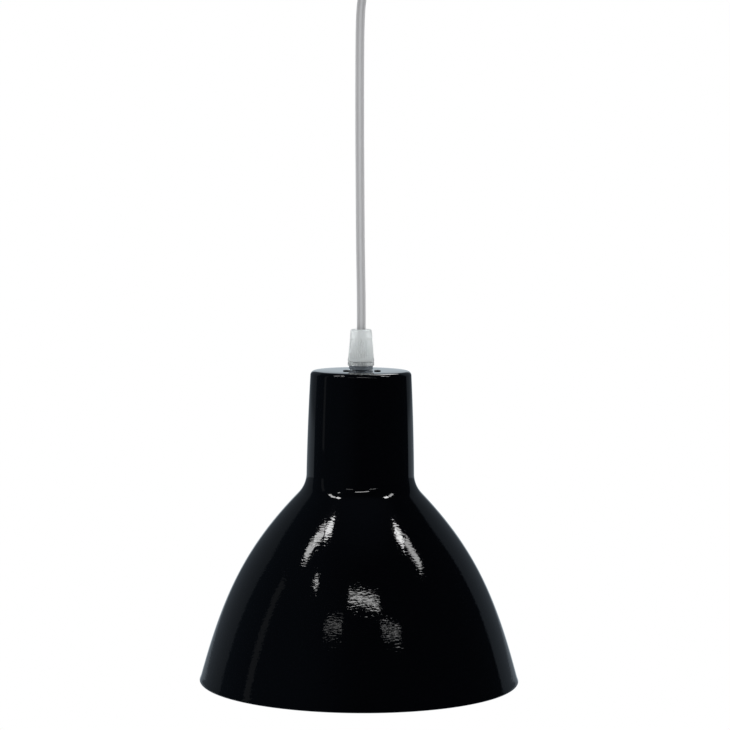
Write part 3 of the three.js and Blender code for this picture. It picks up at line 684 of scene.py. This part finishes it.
def shade_outside():
    """The shade's outside from just above the rim to its flat top, as (radius, height) points."""
    shoulder_end = (
        NECK_BOTTOM_RADIUS + SHOULDER_RADIUS * (1 - math.cos(SHOULDER_TURN)),
        -NECK_HEIGHT - SHOULDER_RADIUS * math.sin(SHOULDER_TURN),
    )
    rim = (RIM_RADIUS, -SHADE_HEIGHT)
    bell = bezier([
        rim,
        (rim[0] - RIM_PULL * math.sin(RIM_LEAN), rim[1] + RIM_PULL * math.cos(RIM_LEAN)),
        (shoulder_end[0] + BELL_PULL * math.sin(SHOULDER_TURN),
         shoulder_end[1] - BELL_PULL * math.cos(SHOULDER_TURN)),
        shoulder_end,
    ], 60)
    turned = math.degrees(SHOULDER_TURN)
    shoulder = arc(NECK_BOTTOM_RADIUS + SHOULDER_RADIUS, -NECK_HEIGHT, SHOULDER_RADIUS,
                   180 + turned, 180, 20)
    neck = bezier([
        (NECK_BOTTOM_RADIUS, -NECK_HEIGHT),
        ((NECK_TOP_RADIUS + NECK_BOTTOM_RADIUS) / 2 + NECK_BULGE, -NECK_HEIGHT / 2),
        (NECK_TOP_RADIUS, -TOP_EDGE_DEPTH),
    ], 24)
    edge = arc(NECK_TOP_RADIUS - TOP_EDGE_RADIUS, -TOP_EDGE_DEPTH, TOP_EDGE_RADIUS,
               0, 90 - math.degrees(TOP_SLOPE), 14)
    crown_radius = -edge[-1][1] / (1 - math.cos(TOP_SLOPE))
    crown_start = edge[-1][0] - crown_radius * math.sin(TOP_SLOPE)
    crown = arc(crown_start, -crown_radius, crown_radius, 90 - math.degrees(TOP_SLOPE), 90, 8)
    return bell[1:] + shoulder[1:] + neck[1:] + edge[1:] + crown[1:]


def make_shade():
    outside = shade_outside()
    inside = moved_in(outside, SHEET)[::-1]
    bead = arc(RIM_RADIUS - RIM_BEAD, RIM_BEAD - SHADE_HEIGHT, RIM_BEAD, 150, 360, 16)
    flat = [outside[-1][0] - 2, 13, 7, STEM_HOLE]
    top = [(r, 0) for r in flat]
    below = [(r, -SHEET) for r in reversed(flat)]
    outline = bead + outside + top + below + inside
    places = [(VENT_OFFSET * math.cos(angle), VENT_OFFSET * math.sin(angle)) for angle in VENT_ANGLES]
    lip = lathe([(0, -SHEET / 2), (VENT_LIP_RADIUS, -SHEET / 2), (VENT_LIP_RADIUS, VENT_LIP - EDGE),
                 *arc(VENT_LIP_RADIUS - EDGE, VENT_LIP - EDGE, EDGE, 15, 90, 5), (0, VENT_LIP)], MEDIUM)
    lips = [moved(lip, x, y, SHADE_TOP) for x, y in places]
    holes = [rod(VENT_RADIUS, SHADE_TOP - SHEET - 1, SHADE_TOP + 1, x, y, MEDIUM) for x, y in places]
    shade = show("shade", moved(lathe(outline, FINE), z=SHADE_TOP), holes, lips)
    shade.data.materials.append(white_paint().material)
    lowest_white = SHADE_TOP - SHADE_HEIGHT + RIM_BEAD * 1.5
    for face in shade.data.polygons:
        centre, facing = face.center / MM, face.normal
        outwards = Vector((centre.x, centre.y, 0)).normalized()
        faces_in = centre.z < SHADE_TOP - SHEET and facing.dot(outwards) - facing.z * 0.01 < 0
        flat_below = facing.z < -0.9 and centre.z > SHADE_TOP - 2
        if faces_in and centre.z > lowest_white or flat_below:
            face.material_index = 1


# --- Cord grips ---


def lug(angle, radius, height):
    """The notched ring: lugs with sloping sides."""
    if not RING_BOTTOM <= height <= RING_TOP or radius < RING_RADIUS - 0.5:
        return radius
    part = (angle * RING_LUGS / (2 * math.pi)) % 1
    depth = min(max(min(part - 0.5, 1 - part) * 9, 0), 1)
    return radius - RING_NOTCH * depth


def screw_thread(radius, pitch, height, bottom, top):
    """A change for lathe that cuts a right-hand thread inwards from a radius, between two heights."""
    def change(angle, r, z):
        if abs(r - radius) > 1e-3 or not bottom <= z <= top:
            return r
        edge = min(1, (z - bottom) / pitch, (top - z) / pitch)
        wave = 0.5 - 0.5 * math.cos(2 * math.pi * z / pitch - angle)
        return r - height * wave * max(edge, 0)
    return change


def rows(radius, bottom, top, step):
    count = math.ceil((top - bottom) / step)
    return [(radius, bottom + (top - bottom) * i / count) for i in range(count + 1)]


def grip_base():
    first, last = 0.4 - STEM_LENGTH, 0.2
    thread = screw_thread(STEM_RADIUS, STEM_PITCH, STEM_THREAD, first, last)

    def change(angle, radius, height):
        return thread(angle, lug(angle, radius, height), height)

    bevel = 0.25
    return lathe([
        (STEM_BORE, -STEM_LENGTH), (STEM_RADIUS - STEM_THREAD, -STEM_LENGTH),
        *rows(STEM_RADIUS, first, last, STEM_PITCH / 8),
        (STEM_RADIUS, GAP), (FOOT_RADIUS - bevel, GAP), (FOOT_RADIUS, GAP + bevel),
        (FOOT_RADIUS, RING_BOTTOM), (RING_RADIUS - bevel, RING_BOTTOM), (RING_RADIUS, RING_BOTTOM + bevel),
        (RING_RADIUS, RING_TOP - bevel), (RING_RADIUS - bevel, RING_TOP), (SPIGOT_RADIUS, RING_TOP),
        (SPIGOT_RADIUS, SPIGOT_TOP), (STEM_BORE, SPIGOT_TOP),
    ], 12 * RING_LUGS, change)


def grip_cap():
    """The clamping cap: a plain flange, a ribbed cone, and a smooth rounded tip with a flared mouth."""
    flange_top = CAP_BOTTOM + FLANGE_HEIGHT
    cone_bottom = flange_top + EDGE
    edge_bottom = GRIP_HEIGHT - CAP_EDGE

    def change(angle, radius, height):
        on_cone = cone_bottom <= height <= RIB_TOP and radius > CAP_TIP_RADIUS - 0.01
        if not on_cone:
            return radius
        fade = min(1, (height - cone_bottom) / 0.6, (RIB_TOP - height) / 1.5)
        wave = abs(math.sin(angle * CAP_RIBS / 2))
        return radius - RIB_DEPTH * (1 - wave) ** 1.5 * fade

    def cone(height):
        share = (height - cone_bottom) / (edge_bottom - cone_bottom)
        return CAP_CONE_RADIUS + (CAP_TIP_RADIUS - CAP_CONE_RADIUS) * share

    cone_rows = [cone_bottom + (RIB_TOP - cone_bottom) * i / 20 for i in range(21)]
    seam = [(cone(RIB_TOP + up) - depth, RIB_TOP + up) for up, depth in CAP_SEAM]
    mouth = [(MOUTH_RADIUS, GRIP_HEIGHT), (CAP_BORE, GRIP_HEIGHT), (CAP_BORE, GRIP_HEIGHT - MOUTH_DEPTH)]
    return lathe([
        (CAVITY_RADIUS, CAP_BOTTOM), (RING_RADIUS - EDGE, CAP_BOTTOM), (RING_RADIUS, CAP_BOTTOM + EDGE),
        (RING_RADIUS, flange_top - EDGE), (RING_RADIUS - EDGE / 2, flange_top),
        *[(cone(height), height) for height in cone_rows], *seam,
        *arc(CAP_TIP_RADIUS - CAP_EDGE, edge_bottom, CAP_EDGE, 0, 90, 8),
        *bezier(mouth, 6), (CAP_BORE, CAVITY_TOP), (CAVITY_RADIUS, CAVITY_SHOULDER),
    ], 8 * CAP_RIBS, change)


def hexagon(radius):
    return arc(0, 0, radius, 0, 300, 5)


def grip_collet():
    cone = lathe([
        (COLLET_BORE, COLLET_BOTTOM), (COLLET_RADIUS, COLLET_BOTTOM),
        (COLLET_RADIUS, COLLET_BOTTOM + COLLET_FOOT), (COLLET_TIP_RADIUS, COLLET_TOP),
        (COLLET_BORE, COLLET_TOP),
    ], ROUND)
    slit = block(12, COLLET_SLIT, 5, (0, 0, COLLET_TOP))
    return cone, [slit, moved(slit, turn=turn(90, "Z"))]


def make_grip(owner, place, nut_bottom):
    """One cord grip with its nut and the cord inside it. Its seat is at height 0 in its own place."""
    base = show(f"{owner}_grip_base", grip_base(), place=place)
    # The foot below the ring takes the dark clear plastic: painted shade under the overhanging ring.
    base.data.materials.append(material_of("shaded_foot"))
    for face in base.data.polygons:
        if (place.inverted() @ (face.center / MM)).z < RING_BOTTOM + 0.05:
            face.material_index = 1
    show(f"{owner}_grip_cap", grip_cap(), place=place)
    show(f"{owner}_grip_collet", *grip_collet(), place=place)
    nut = prism(hexagon(NUT_RADIUS), nut_bottom, nut_bottom + NUT_HEIGHT)
    hole = rod(STEM_HOLE, nut_bottom - 1, nut_bottom + NUT_HEIGHT + 1, sides=LARGE)
    show(f"{owner}_grip_nut", nut, [hole], bevel=0.35, place=place)
    section = cord_section()
    route = [Vector((0, 0, z)) for z in (TAIL_TOP, 10, 0, -STEM_LENGTH - CORD_END)]
    tail = show(f"{owner}_cord_tail", sweep(section, route, Vector((1, 0, 0))), place=place)
    mark_across(tail, section, route)


# --- Ceiling rose ---


def cross_rod(radius, start, end, z):
    return moved(rod(radius, start, end), z=z, turn=turn(90, "Y"))


def make_bracket():
    half = high("mounting_bracket").x
    tab = low("mounting_bracket").z
    inner, bend = half - BRACKET_SHEET, half - BRACKET_BEND
    inner_bend = BRACKET_BEND - BRACKET_SHEET
    outline = [
        (-half, tab), (-inner, tab),
        *arc(-bend, -BRACKET_BEND, inner_bend, 180, 90, 8), *arc(bend, -BRACKET_BEND, inner_bend, 90, 0, 8),
        (inner, tab), (half, tab),
        *arc(bend, -BRACKET_BEND, BRACKET_BEND, 0, 90, 8),
        *arc(-bend, -BRACKET_BEND, BRACKET_BEND, 90, 180, 8),
    ]
    strap = moved(prism(outline, -BRACKET_WIDTH / 2, BRACKET_WIDTH / 2), turn=turn(90, "X"))
    end = (SLOT_LENGTH - SLOT_WIDTH) / 2
    slot = arc(end, 0, SLOT_WIDTH / 2, -90, 90, 12) + arc(-end, 0, SLOT_WIDTH / 2, 90, 270, 12)
    cuts = [moved(prism(slot, -5, 2), x=x) for x in (-SLOT_OFFSET, SLOT_OFFSET)]
    cuts.append(cross_rod(SIDE_SCREW_HOLE, -half - 2, half + 2, SIDE_SCREW_HEIGHT))
    show("mounting_bracket", strap, cuts, bevel=0.25)


def make_canopy():
    inside = CANOPY_RADIUS - SHEET
    corner = CANOPY_RADIUS - CANOPY_CORNER
    corner_height = CANOPY_SEAT + CANOPY_CORNER
    outline = [
        (STEM_HOLE, CANOPY_SEAT), (7, CANOPY_SEAT), (corner - 1, CANOPY_SEAT),
        *arc(corner, corner_height, CANOPY_CORNER, -90, 0, 16),
        (CANOPY_RADIUS, CANOPY_RIM - EDGE), (CANOPY_RADIUS - EDGE / 2, CANOPY_RIM),
        (inside + EDGE / 2, CANOPY_RIM), (inside, CANOPY_RIM - EDGE),
        *arc(corner, corner_height, CANOPY_CORNER - SHEET, 0, -90, 16),
        (corner - 1, CANOPY_SEAT + SHEET), (7, CANOPY_SEAT + SHEET), (STEM_HOLE, CANOPY_SEAT + SHEET),
    ]
    reach = CANOPY_RADIUS + 1
    walls = ((-reach, 4 - reach), (reach - 4, reach))
    cuts = [cross_rod(SIDE_SCREW_HOLE, start, end, SIDE_SCREW_HEIGHT) for start, end in walls]
    show("canopy", lathe(outline, FINE), cuts)


def cross_recess(size, depth, top):
    bar = block(size, size * 0.24, depth, (0, 0, top))
    return [bar, moved(bar, turn=turn(90, "Z"))]


def make_side_screw(side, sign):
    """A pan-head machine screw along X, its head outside the canopy."""
    length = CANOPY_RADIUS + GAP - SIDE_SCREW_TIP
    top, head = length + SIDE_SCREW_HEAD_HEIGHT, SIDE_SCREW_HEAD
    first, last = 0.4, length - 0.6
    thread = screw_thread(SIDE_SCREW_RADIUS, SIDE_SCREW_PITCH, SIDE_SCREW_THREAD, first, last)
    outline = [
        (0, 0), (SIDE_SCREW_RADIUS - 0.35, 0),
        *rows(SIDE_SCREW_RADIUS, first, last, SIDE_SCREW_PITCH / 6),
        (SIDE_SCREW_RADIUS, length), (head - EDGE / 2, length), (head, length + EDGE / 2),
        *bezier([(head, length + SIDE_SCREW_HEAD_HEIGHT / 2), (head * 0.92, top), (0, top)], 8),
    ]
    place = Matrix.Translation((SIDE_SCREW_TIP * sign, 0, SIDE_SCREW_HEIGHT)) @ turn(90 * sign, "Y")
    cross = cross_recess(SIDE_SCREW_CROSS, SIDE_SCREW_HEAD_HEIGHT, top)
    show(f"canopy_screw_{side}", lathe(outline, MEDIUM, thread), cross, place=place)


def make_terminal_block():
    lowest, highest = low("terminal_block"), high("terminal_block")
    size, middle = highest - lowest, (highest + lowest) / 2
    lobe = size.z / 2
    outline = []
    for sign in (1, -1):
        start = 0 if sign == 1 else 180
        outline += arc(sign * POLE_OFFSET, 0, lobe - 0.5, start - 62, start + 62, 18)
    body = moved(prism(outline, -size.y / 2, size.y / 2), *middle, turn=turn(90, "X"))
    wells, collars = [], []
    for x in (-POLE_OFFSET, POLE_OFFSET):
        for y in (-TERMINAL_SCREW_OFFSET, TERMINAL_SCREW_OFFSET):
            collars.append(rod(COLLAR_RADIUS, lowest.z, middle.z, x, middle.y + y))
            wells.append(rod(TERMINAL_SCREW_RADIUS + 0.45, lowest.z - 2, middle.z, x, middle.y + y))
        pole = rod(POLE_HOLE, -size.y, size.y, sides=MEDIUM)
        wells.append(moved(pole, x, middle.y, middle.z, turn(90, "X")))
    wells.append(rod(1.5, lowest.z - 2, highest.z + 2, 0, middle.y))
    show("terminal_block", body, wells, collars, bevel=0.2)
    return middle


def make_terminal_screw(node, x, y):
    """A threaded screw whose slot faces down."""
    bottom, top, edge = low(node).z, high(node).z, 0.2
    first = bottom + 2 * edge
    thread = screw_thread(TERMINAL_SCREW_RADIUS, TERMINAL_SCREW_PITCH, TERMINAL_SCREW_THREAD, first, top)
    screw = lathe([
        (0, bottom), (TERMINAL_SCREW_RADIUS - edge, bottom), (TERMINAL_SCREW_RADIUS, bottom + edge),
        *rows(TERMINAL_SCREW_RADIUS, first, top, TERMINAL_SCREW_PITCH / 5), (0, top),
    ], SMALL, thread)
    show(node, moved(screw, x, y), [block(4, 0.5, 1.4, (x, y, bottom))])


def make_terminals(middle):
    half, edge = INSERT_LENGTH / 2, 0.2
    sleeve = lathe([
        (INSERT_BORE, -half), (INSERT_RADIUS - edge, -half), (INSERT_RADIUS, edge - half),
        (INSERT_RADIUS, half - edge), (INSERT_RADIUS - edge, half), (INSERT_BORE, half),
    ], MEDIUM)
    number = 0
    for wire, side in WIRES.items():
        x, holes = side * POLE_OFFSET, []
        for y in (middle.y - TERMINAL_SCREW_OFFSET, middle.y + TERMINAL_SCREW_OFFSET):
            number += 1
            holes.append(rod(TERMINAL_SCREW_RADIUS + 0.3, middle.z - 4, middle.z, x, y))
            make_terminal_screw(f"terminal_screw_{number}", x, y)
        show(f"terminal_insert_{wire}", moved(sleeve, x, middle.y, middle.z, turn(90, "X")), holes)


def lead(points):
    """An insulated wire through some points."""
    circle = arc(0, 0, LEAD_RADIUS, 0, 345, 23)
    return sweep(circle, smooth_route([Vector(point) for point in points], 0.5))


def make_canopy_leads(middle):
    sheath_end = CANOPY_SEAT + STEM_LENGTH + CORD_END
    for wire, side in WIRES.items():
        start, x = side * LEAD_OFFSET, side * POLE_OFFSET
        show(f"canopy_lead_{wire}", lead([
            (start, 0, sheath_end - 0.4), (start, 0, sheath_end + GAP), (side * 1.5, 0.6, sheath_end + 3),
            (side * 3, 6, sheath_end + 4), (x, 11, sheath_end + 1.5), (x, middle.y - 7, middle.z),
            (x, middle.y - 1, middle.z),
        ]))


# --- Lampholder ---


def fluted(radius, bottom, top):
    """A change for lathe that cuts shallow flutes into a wall, between two heights."""
    def change(angle, r, z):
        if abs(r - radius) > 1e-3 or not bottom <= z <= top:
            return r
        fade = min(1, (z - bottom) / 1.2, (top - z) / 1.2)
        return r - FLUTE_DEPTH * max(fade, 0) * (0.5 - 0.5 * math.cos(FLUTES * angle))
    return change


def depths(node):
    """A node's lowest and highest points, measured from the shade's flat top."""
    return low(node).z - SHADE_TOP, high(node).z - SHADE_TOP


def lock_washer():
    bottom, top = depths("lock_washer")

    def toothed(angle, r, z):
        return r - (WASHER_TOOTH if r > STEM_HOLE and math.sin(12 * angle) < -0.2 else 0)

    outline = [(STEM_HOLE, bottom), (WASHER_RADIUS, bottom), (WASHER_RADIUS, top), (STEM_HOLE, top)]
    return lathe(outline, ROUND, toothed)


def holder_cap(inner):
    """The lampholder's dome, with a collar above and a fluted skirt below."""
    dome_radius = HOLDER_RADIUS - HOLDER_COLLAR_RADIUS
    dome_height = HOLDER_COLLAR_BOTTOM + 1 - HOLDER_DOME_BOTTOM

    def dome(inset, start, end):
        turns = [math.radians(start + (end - start) * i / 18) for i in range(19)]
        return [(HOLDER_COLLAR_RADIUS + (dome_radius - inset) * math.cos(t),
                 HOLDER_DOME_BOTTOM + (dome_height - inset) * math.sin(t)) for t in turns]

    bottom, top = HOLDER_SKIRT_BOTTOM + 0.8, HOLDER_DOME_BOTTOM - 0.4
    return lathe([
        (inner, HOLDER_SKIRT_BOTTOM), (HOLDER_RADIUS - EDGE, HOLDER_SKIRT_BOTTOM),
        (HOLDER_RADIUS, HOLDER_SKIRT_BOTTOM + EDGE), *rows(HOLDER_RADIUS, bottom, top, 0.4),
        *dome(0, 0, 90), (HOLDER_COLLAR_RADIUS, HOLDER_COLLAR_TOP - EDGE),
        (HOLDER_COLLAR_RADIUS - EDGE, HOLDER_COLLAR_TOP), (STEM_HOLE, HOLDER_COLLAR_TOP),
        (STEM_HOLE, HOLDER_COLLAR_BOTTOM - HOLDER_WALL + 1), *dome(HOLDER_WALL, 90, 0),
    ], 6 * FLUTES, fluted(HOLDER_RADIUS, bottom, top))


def holder_body(spigot):
    """The fluted sleeve below the cap, with a spigot that goes up into it."""
    shoulder = HOLDER_SKIRT_BOTTOM - GAP
    bottom, top = HOLDER_BOTTOM + 5.6, shoulder - 0.8
    return lathe([
        (HOLDER_BORE, HOLDER_BOTTOM), *arc(HOLDER_RADIUS - 1.6, HOLDER_BOTTOM + 1, 1, -90, 0, 6),
        *rows(HOLDER_RADIUS - 0.6, HOLDER_BOTTOM + 1.2, HOLDER_BOTTOM + 5, 0.8),
        *rows(HOLDER_RADIUS, bottom, top, 0.5), (HOLDER_RADIUS, shoulder - EDGE),
        (HOLDER_RADIUS - EDGE, shoulder), (spigot, shoulder), (spigot, HOLDER_DOME_BOTTOM - 0.6),
        (HOLDER_BORE, HOLDER_DOME_BOTTOM - 0.6),
    ], 6 * FLUTES, fluted(HOLDER_RADIUS, bottom, top))


def make_holder(hanging):
    inner = HOLDER_RADIUS - HOLDER_WALL
    show("lock_washer", lock_washer(), place=hanging)
    show("lampholder_cap", holder_cap(inner), place=hanging)
    show("lampholder_body", holder_body(inner - 0.4), place=hanging)
    radius, bevel = HOLDER_BORE - 0.4, 0.4
    insert = lathe([
        (0, INSERT_BOTTOM), (radius - bevel, INSERT_BOTTOM), (radius, INSERT_BOTTOM + bevel),
        (radius, INSERT_TOP - bevel), (radius - bevel, INSERT_TOP), (0, INSERT_TOP),
    ], ROUND)
    show("lampholder_insert", insert, place=hanging)


def electric_thread(radius):
    """A change for lathe: the round E27 thread, right-handed."""
    def change(angle, r, z):
        if abs(r - radius) > 1e-3:
            return r
        return r + THREAD_HEIGHT * math.cos(2 * math.pi * z / THREAD_PITCH - angle)
    return change


def screw_shell():
    first = SHELL_TOP - 1
    last = first - THREAD_TURNS * THREAD_PITCH
    bottom, lip = last - 0.6, SHELL_RADIUS - 0.5
    return lathe([
        (lip, bottom), (SHELL_RADIUS, bottom), (SHELL_RADIUS, SHELL_TOP), (lip, SHELL_TOP),
        *rows(SHELL_THREAD_RADIUS, last, first, THREAD_PITCH / 16)[::-1],
    ], ROUND, electric_thread(SHELL_THREAD_RADIUS))


def contact_tongue():
    """A bent strip that presses on the bulb's contact, seen from the side."""
    top = INSERT_BOTTOM - GAP
    pressed = top - TONGUE_DROP + TONGUE_SHEET
    upper = [(-9, top), (-5, top), (-3.5, top - 0.2), (-1, pressed + 0.1), (0, pressed), (2.5, pressed)]
    lower = [(x, z - TONGUE_SHEET) for x, z in upper]
    tongue = upper[:1] + lower + upper[:0:-1]
    return moved(prism(tongue, -TONGUE_WIDTH / 2, TONGUE_WIDTH / 2), turn=turn(90, "X"))


def make_contacts(hanging):
    show("lampholder_shell", screw_shell(), place=hanging)
    show("centre_contact", contact_tongue(), bevel=0.1, place=hanging)
    top = INSERT_TOP + POST_HEIGHT
    post = lathe([
        (0, INSERT_TOP + GAP), (POST_RADIUS, INSERT_TOP + GAP), (POST_RADIUS, top - EDGE),
        (POST_RADIUS - EDGE, top), (0, top),
    ], 40)
    sheath_end = -STEM_LENGTH - CORD_END
    for wire, side in WIRES.items():
        start, x = side * LEAD_OFFSET, side * POST_OFFSET
        slot = block(6, 0.6, 1.6, (x, 0, top))
        show(f"holder_terminal_{wire}", moved(post, x=x), [slot], place=hanging)
        show(f"holder_lead_{wire}", lead([
            (start, 0, sheath_end + 0.4), (start, 0, sheath_end - GAP), (side * 1.5, 0, sheath_end - 1.5),
            (side * 4.6, 0, sheath_end - 2.5), (x, 0, sheath_end - 3.7), (x, 0, top + GAP),
        ]), place=hanging)


# --- Bulb ---


def bulb_outline():
    """The bulb's outside from its lowest point up to where it enters the cap."""
    ball = arc(0, BULB_BOTTOM + BULB_RADIUS, BULB_RADIUS, -90, BULB_JOIN, 40)
    ball[0] = (0, BULB_BOTTOM)
    angle = math.radians(BULB_JOIN)
    neck = bezier([
        ball[-1],
        (ball[-1][0] - BULB_PULL * math.sin(angle), ball[-1][1] + BULB_PULL * math.cos(angle)),
        (BULB_NECK_RADIUS, BULB_NECK_TOP - 14), (BULB_NECK_RADIUS, BULB_NECK_TOP),
    ], 20)
    return ball + neck[1:]


def bulb_cap():
    first = BULB_CAP_TOP - 0.6
    last = first - THREAD_TURNS * THREAD_PITCH
    skirt, roof = CAP_THREAD_RADIUS + EDGE, BULB_CAP_TOP - 1
    return lathe([
        (0, roof), (BULB_CAP_BORE, roof), (BULB_CAP_BORE, BULB_CAP_BOTTOM), (skirt, BULB_CAP_BOTTOM),
        (skirt, last - 0.5), *rows(CAP_THREAD_RADIUS, last, first, THREAD_PITCH / 16),
        (CAP_THREAD_RADIUS - 0.9, BULB_CAP_TOP), (0, BULB_CAP_TOP),
    ], ROUND, electric_thread(CAP_THREAD_RADIUS))


def make_bulb(hanging):
    outside = bulb_outline()
    inside = moved_in(outside, BULB_WALL)[::-1]
    inside[-1] = (0, BULB_BOTTOM + BULB_WALL)
    inside[0] = (BULB_NECK_RADIUS - BULB_WALL, BULB_NECK_TOP)
    show("bulb_glass", lathe(outside + inside, ROUND), place=hanging)
    show("bulb_cap", bulb_cap(), place=hanging)

    bottom, top = depths("bulb_contact")
    crown = bezier([(CONTACT_RADIUS - 0.2, top - 0.5), (3, top), (0, top)], 6)
    contact = lathe([(0, bottom), (CONTACT_RADIUS, bottom), (CONTACT_RADIUS, top - 0.7), *crown], MEDIUM)
    show("bulb_contact", contact, place=hanging)
    bottom, top = depths("bulb_insulator")
    slope = bezier([(11.2, bottom + 0.2), (8, top - 0.6), (5.4, top)], 8)
    show("bulb_insulator", lathe([(0, bottom), (11, bottom), *slope, (0, top)], LARGE), place=hanging)


# --- Light and floor ---

LIGHT_AIM = Vector((0, 0, -0.4))
LIGHT_DISTANCE = 3.0
# name: azimuth from the camera's side towards +X, elevation, width and height in degrees, tilt, radiance
SOFTBOXES = {
    "left_box": (-67.4, 60.8, 5.6, 5.6, -20, 16),
    "left_box_middle": (-76, 54.4, 5.4, 7, -30, 10),
    "left_box_foot": (-77.6, 47.7, 5.6, 5.8, 14, 8.5),
    "right_box": (74.4, 55.4, 6, 6, 15, 17),
    "right_box_foot": (79.4, 46.4, 5.4, 11, 0, 7),
    "left_lamp": (-50.8, 42.9, 5, 1.7, -20, 10),
    "left_strip": (-87, 15, 6, 36, 0, 0.09),
    "front_panel": (4.8, 41.7, 24, 2.4, -8, 8.5),
    "front_left_lamp": (-23.4, 31.6, 13, 1.4, 8, 2.2),
    "front_right_lamp": (28.2, 29.7, 14, 0.6, -14, 8),
    "back_box": (160, 50, 12, 22, 0, 8),
}


def add_softbox(name, azimuth, elevation, width, height, tilt, radiance):
    data = bpy.data.lights.new(name, "AREA")
    data.shape = "RECTANGLE"
    data.size = 2 * LIGHT_DISTANCE * math.tan(math.radians(width / 2))
    data.size_y = 2 * LIGHT_DISTANCE * math.tan(math.radians(height / 2))
    data.energy = radiance * math.pi * data.size * data.size_y
    light = add_object(name, data)
    a, e = math.radians(azimuth), math.radians(elevation)
    way = Vector((math.sin(a) * math.cos(e), -math.cos(a) * math.cos(e), math.sin(e)))
    face = way.to_track_quat("Z", "Y").to_matrix().to_4x4()
    light.matrix_world = Matrix.Translation(LIGHT_AIM + way * LIGHT_DISTANCE) @ face @ turn(tilt, "Z")
    light.visible_camera = False


# Colours of the studio round the light
WHITE = (1.0, 1.0, 1.0)
SOFT_LIGHT = (0.71, 0.72, 0.73)
DIM_ROOM = (0.01, 0.014, 0.019)
DIM_LEFT = (0.026, 0.037, 0.05)
DIM_CEILING = (0.03, 0.04, 0.055)
BACKDROP = (0.088, 0.106, 0.126)
BACKDROP_FOOT = (0.2, 0.235, 0.27)
BACKDROP_MIDDLE = (0.62, 0.7, 0.76)


def make_world():
    """White to the eye and through clear plastic, and soft light all round. In reflections it is a dim
    studio, a little brighter on the left, with a pale backdrop behind the light."""
    world = bpy.data.worlds.new("studio")
    bpy.context.scene.world = world
    world.use_nodes = True
    tree = world.node_tree

    def connect(value, socket):
        if isinstance(value, bpy.types.NodeSocket):
            tree.links.new(value, socket)
        elif isinstance(value, tuple):
            socket.default_value = (*value, 1)
        else:
            socket.default_value = value

    def math_node(operation, first, second):
        made = tree.nodes.new("ShaderNodeMath")
        made.operation = operation
        connect(first, made.inputs[0])
        connect(second, made.inputs[1])
        return made.outputs[0]

    def step(value, start, end):
        """0 before start and 1 after end, smooth between them."""
        made = tree.nodes.new("ShaderNodeMapRange")
        made.interpolation_type = "SMOOTHSTEP"
        for socket, number in (("Value", value), ("From Min", start), ("From Max", end)):
            connect(number, made.inputs[socket])
        return made.outputs["Result"]

    def mix(factor, first, second):
        made = tree.nodes.new("ShaderNodeMix")
        made.data_type = "RGBA"
        for socket, value in ((0, factor), (6, first), (7, second)):
            connect(value, made.inputs[socket])
        return made.outputs[2]

    places = tree.nodes.new("ShaderNodeTexCoord")
    split = tree.nodes.new("ShaderNodeSeparateXYZ")
    tree.links.new(places.outputs["Generated"], split.inputs["Vector"])
    x, y, z = [split.outputs[axis] for axis in "XYZ"]
    across, up = math_node("DIVIDE", x, y), math_node("DIVIDE", z, y)

    dim = mix(step(x, 0.1, -0.8), DIM_ROOM, DIM_LEFT)
    dim = mix(step(z, 0.8, 1.0), dim, DIM_CEILING)
    backdrop = mix(step(z, -0.055, -0.08), BACKDROP, BACKDROP_FOOT)
    middle = math_node("MULTIPLY", step(up, 0.3, 0.17), step(math_node("ABSOLUTE", across, 0), 0.3, 0.12))
    backdrop = mix(middle, backdrop, BACKDROP_MIDDLE)
    inside = step(y, 0.0, 0.02)
    for value, start, end in ((across, -1.95, -1.7), (across, 1.45, 1.3), (up, 1.15, 0.9)):
        inside = math_node("MULTIPLY", inside, step(value, start, end))
    reflected = mix(inside, dim, backdrop)

    rays = tree.nodes.new("ShaderNodeLightPath")
    lit = mix(rays.outputs["Is Glossy Ray"], SOFT_LIGHT, reflected)
    through = mix(rays.outputs["Is Transmission Ray"], lit, WHITE)
    seen = mix(rays.outputs["Is Camera Ray"], through, WHITE)
    tree.links.new(seen, tree.nodes["Background"].inputs["Color"])


def make_floor():
    """A pale floor well below the light, unseen in reflections."""
    radius, height = 9.0, -2.6
    mesh = bpy.data.meshes.new("floor")
    corners = [Vector((x * radius, y * radius, height)) for x, y in ((-1, -1), (1, -1), (1, 1), (-1, 1))]
    mesh.from_pydata(corners, [], [[0, 1, 2, 3]])
    floor = add_object("floor", mesh)
    finish = Finish("pale_floor", (0.85, 0.85, 0.85), 0.9)
    finish.shader.inputs["Emission Color"].default_value = (1, 1, 1, 1)
    finish.shader.inputs["Emission Strength"].default_value = 0.6
    finish.color(finish.noise(400, 2), (0.83, 0.83, 0.83), (0.87, 0.87, 0.87))
    mesh.materials.append(finish.material)
    floor.visible_glossy = False


def main():
    make_camera()
    make_cord()
    hanging = Matrix.Translation((0, 0, SHADE_TOP))
    ceiling = Matrix.Translation((0, 0, CANOPY_SEAT)) @ turn(180, "X")
    make_grip("canopy", ceiling, -SHEET - GAP - NUT_HEIGHT)
    make_grip("shade", hanging, -SHEET - 2 * GAP - WASHER_THICKNESS - NUT_HEIGHT)
    make_shade()
    make_bracket()
    make_canopy()
    for side, sign in (("left", -1), ("right", 1)):
        make_side_screw(side, sign)
    middle = make_terminal_block()
    make_terminals(middle)
    make_canopy_leads(middle)
    make_holder(hanging)
    make_contacts(hanging)
    make_bulb(hanging)
    for name, box in SOFTBOXES.items():
        add_softbox(name, *box)
    make_world()
    make_floor()
    bpy.context.scene.view_settings.view_transform = "Standard"


main()
